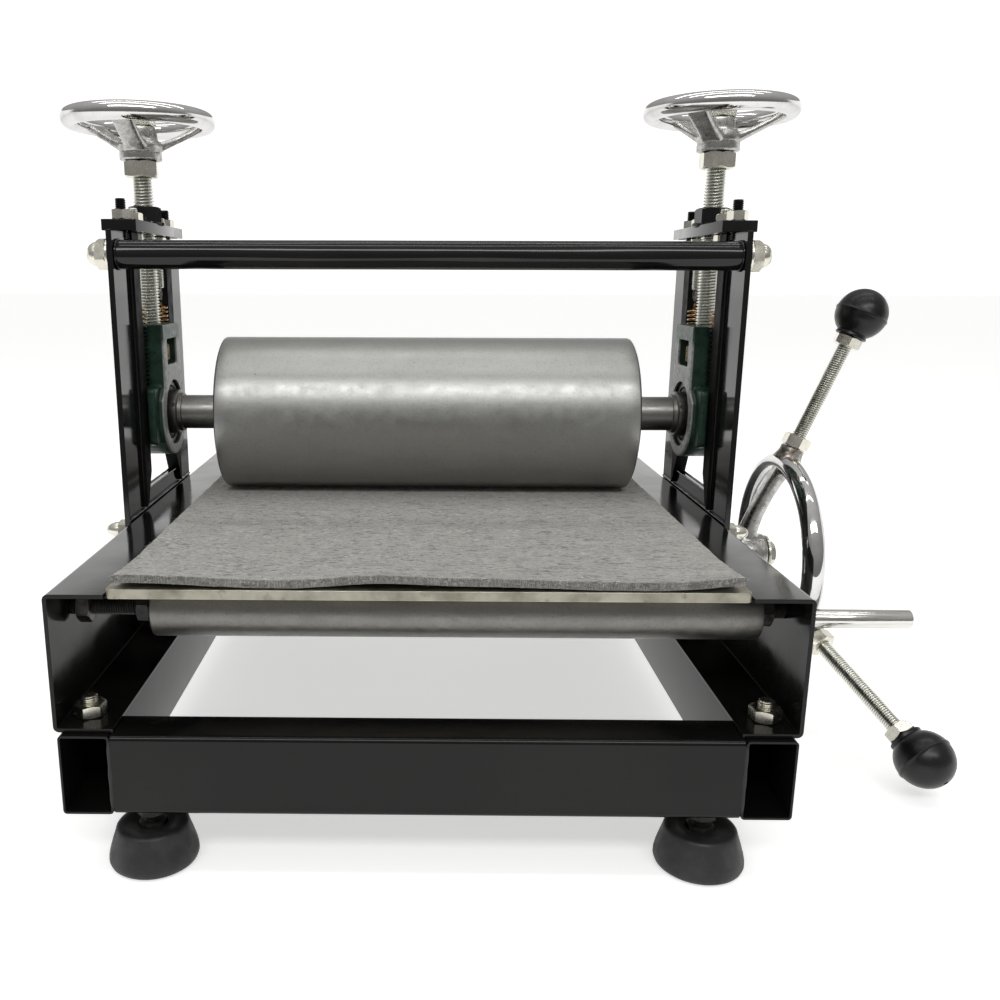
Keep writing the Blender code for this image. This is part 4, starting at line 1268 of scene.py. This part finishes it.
def handle_line(a):
    return radial(a) * math.cos(TILT) + Vector((math.sin(TILT), 0, 0))


angles = [2 * math.pi * k / 3 for k in range(3)]
ARM_WIDE = [10.0, 8.8, 8.0, 7.6, 7.8, 9.0]
ARM_THICK = [7.2, 6.2, 5.6, 5.4, 5.6, 6.4]
hub = [
    (12.8, 258.0), (16.2, 258.0), (17.0, 258.8), (17.0, 272.0), (16.4, 280.0), (15.4, 281.0),
    (12.8, 281.0),
]
shapes = [lathe(X, (0, 0, DRIVE_Z), hub, 64, True)]
for a in angles:
    path = []
    for r, x in ((14.0, 266), (22.0, 268), (34.0, 272), (50.0, 279), (64.0, 286.5), (74.0, 292)):
        path.append(Vector((x, 0, DRIVE_Z)) + radial(a) * r)
    across = radial(a).cross(Vector((1, 0, 0)))
    shapes.append(web(smooth_path(path, 5), ARM_WIDE, ARM_THICK, across))
shapes.append(ring(X, (RING_X, 0, DRIVE_Z), 75.8, 7.6, 96, 16))
cast("turning_wheel_casting", shapes, CAST, 1.2, 6, "drive", "turning_wheel")
rim = ring(X, (RING_X, 0, DRIVE_Z), RING_R, 8.25, 160, 36)
piece("turning_wheel_rim", [(rim, CHROME)], "drive", (), 0, 80)

shapes = []
for k, a in enumerate(angles):
    seat = on_handle(a, SOCKET_R)
    axes = axes_along(handle_line(a))
    boss = [
        (6.3, -12), (11.6, -12), (10.9, -9.5), (9.9, -6.5), (9.4, -3.5), (9.3, -1.2), (8.9, -0.3),
        (8.3, 0.0), (6.3, 0),
    ]

    def lump(r, w, t, k=k):
        return r + (0.35 * noise.noise((math.cos(t) * 2.2, math.sin(t) * 2.2, w * 0.4 + k)) if r > 7 else 0)

    shapes.append((lathe(axes, seat, boss, 48, True, lump), SOCKET))
piece("handle_sockets_welded", shapes, "drive", (), 0, 60)

pin_a = math.radians(106.7)
pin = (0, -91.0 * math.sin(pin_a), DRIVE_Z + 91.0 * math.cos(pin_a))
rows = [
    (7.1, 288.5), (7.2, 289), (7.2, 362.6), (6.9, 363.5), (6.2, 364.0), (3.6, 364.0), (3.2, 363.2),
    (0, 363.2),
]
shapes = [(lathe(X, pin, rows, 48), DRAWN)]
piece("crank_pin_steel", shapes, "drive", (), 0, 40)

for k, a in enumerate(angles, 1):
    seat = on_handle(a, SOCKET_R)
    axes = axes_along(handle_line(a))
    reach = (KNOB_R - SOCKET_R) / math.cos(TILT)
    neck = reach - 18.7
    shapes = [
        (thread(axes, seat, 6.0, -8.0, reach - 9.0, 1.75, 28), THREAD),
        (nut(axes, seat, 19.0, 0.4, 10.2, 5.3, 0.5 * k), ZINC),
        (nut(axes, seat, 19.0, neck - 8.4, neck - 0.3, 5.3, 0.3 * k), ZINC),
    ]
    stand_in("handle_rod_%d" % k, "zinc", shapes, "drive", 0, 30)
    rows = [
        (6.4, neck), (11.2, neck), (11.9, neck + 0.5), (12.0, neck + 1.3), (11.5, neck + 2.3),
        (11.5, neck + 3.1),
    ]
    for b in range(-51, 0, 6):
        rows.append((19.6 * math.cos(math.radians(b)), reach + 19.6 * math.sin(math.radians(b))))
    rows += [(19.8, reach - 1.0), (20.0, reach - 0.7), (20.0, reach + 0.7), (19.6, reach + 1.0)]
    for b in range(8, 90, 7):
        rows.append((19.4 * math.cos(math.radians(b)), reach + 20.0 * math.sin(math.radians(b))))
    rows += [(3.2, reach + 19.7), (2.6, reach + 19.5), (0, reach + 19.45)]
    ball = lathe(axes, seat, rows, 80)
    stand_in("knob_%d" % k, "plastic", [(ball, PLASTIC)], "drive", 0, 45)


# ---------------------------------------------------------------- floor, light and camera

mesh = bpy.data.meshes.new("floor")
mesh.from_pydata([(-30, -0.9, 0), (30, -0.9, 0), (30, 30, 0), (-30, 30, 0)], [], [(0, 1, 2, 3)])
floor = linked("floor", mesh)
s = Shade("pale_floor", (0.78, 0.78, 0.775), 0.0, 0.8)
s.patch((0.76, 0.76, 0.755), (0.3, 0.7), 400)
s.set(Emission_Color=(1.0, 1.0, 1.0, 1.0), Emission_Strength=0.55)
mesh.materials.append(s.mat)
floor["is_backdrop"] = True

# A light backdrop behind the press, low down; the room round and above it is darker.
world = bpy.data.worlds.new("studio")
bpy.context.scene.world = world
world.use_nodes = True
tree = world.node_tree


def world_node(kind, *sources):
    node = tree.nodes.new(kind)
    for k, source in enumerate(sources):
        if hasattr(source, "node"):
            link(tree, source, node.inputs[k])
        elif source is not None:
            node.inputs[k].default_value = source
    return node.outputs[0]


def world_maths(kind, a, b):
    out = world_node("ShaderNodeMath", a, b)
    out.node.operation = kind
    return out


coord = tree.nodes.new("ShaderNodeTexCoord")
split = tree.nodes.new("ShaderNodeSeparateXYZ")
link(tree, coord.outputs["Generated"], split.inputs["Vector"])
behind = world_node("ShaderNodeMapRange", split.outputs["Y"], -0.05, 0.2, 0.0, 1.0)
low_down = world_node("ShaderNodeMapRange", split.outputs["Z"], 0.31, 0.27, 0.0, 1.0)
backdrop = world_maths("MULTIPLY", behind, low_down)
height = world_node("ShaderNodeMapRange", split.outputs["Z"], 0.0, 1.0, 0.2, 0.62)
shine = world_maths("ADD", world_maths("MULTIPLY", backdrop, 0.95), height)
link(tree, shine, tree.nodes["Background"].inputs["Strength"])
tree.nodes["Background"].inputs["Color"].default_value = (1.0, 0.995, 0.985, 1)


def area_light(name, where, size, power):
    """A rectangular lamp, in metres, that faces the middle of the press."""
    lamp = bpy.data.lights.new(name, "AREA")
    lamp.shape = "RECTANGLE"
    lamp.size, lamp.size_y = size
    lamp.energy = power
    obj = linked(name, lamp)
    obj.location = where
    obj.rotation_euler = (Vector((0, 0, 0.24)) - Vector(where)).to_track_quat("-Z", "Y").to_euler()


# Three rows of ceiling tubes along the press's width.
area_light("front_row", (0, -2.0, 2.0), (3.0, 0.45), 30)
area_light("middle_row", (0, -0.5, 2.3), (3.0, 0.12), 7)
area_light("rear_row", (0, 0.45, 2.3), (3.0, 0.12), 7)

cam = linked("camera", bpy.data.cameras.new("camera"))
cam.location = ((-3.9 - CENTRE) * MM, -772.9 * MM, 346.1 * MM)
pitch, yaw, roll = math.radians(13.26), math.radians(-0.62), math.radians(0.17)
ahead = Vector((math.sin(yaw) * math.cos(pitch), math.cos(yaw) * math.cos(pitch), -math.sin(pitch)))
right = Vector((math.cos(yaw), -math.sin(yaw), 0))
up = right.cross(ahead)
right, up = right * math.cos(roll) + up * math.sin(roll), up * math.cos(roll) - right * math.sin(roll)
cam.rotation_mode = "QUATERNION"
cam.rotation_quaternion = Matrix((right, up, -ahead)).transposed().to_quaternion()
cam.data.sensor_width = 36.0
cam.data.lens = 34.46
cam.data.shift_x = 0.0889
cam.data.shift_y = 0.0078
cam.data.clip_start = 0.05
cam.data.clip_end = 100
bpy.context.scene.camera = cam
bpy.context.scene.view_settings.view_transform = "Standard"

low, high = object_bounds()
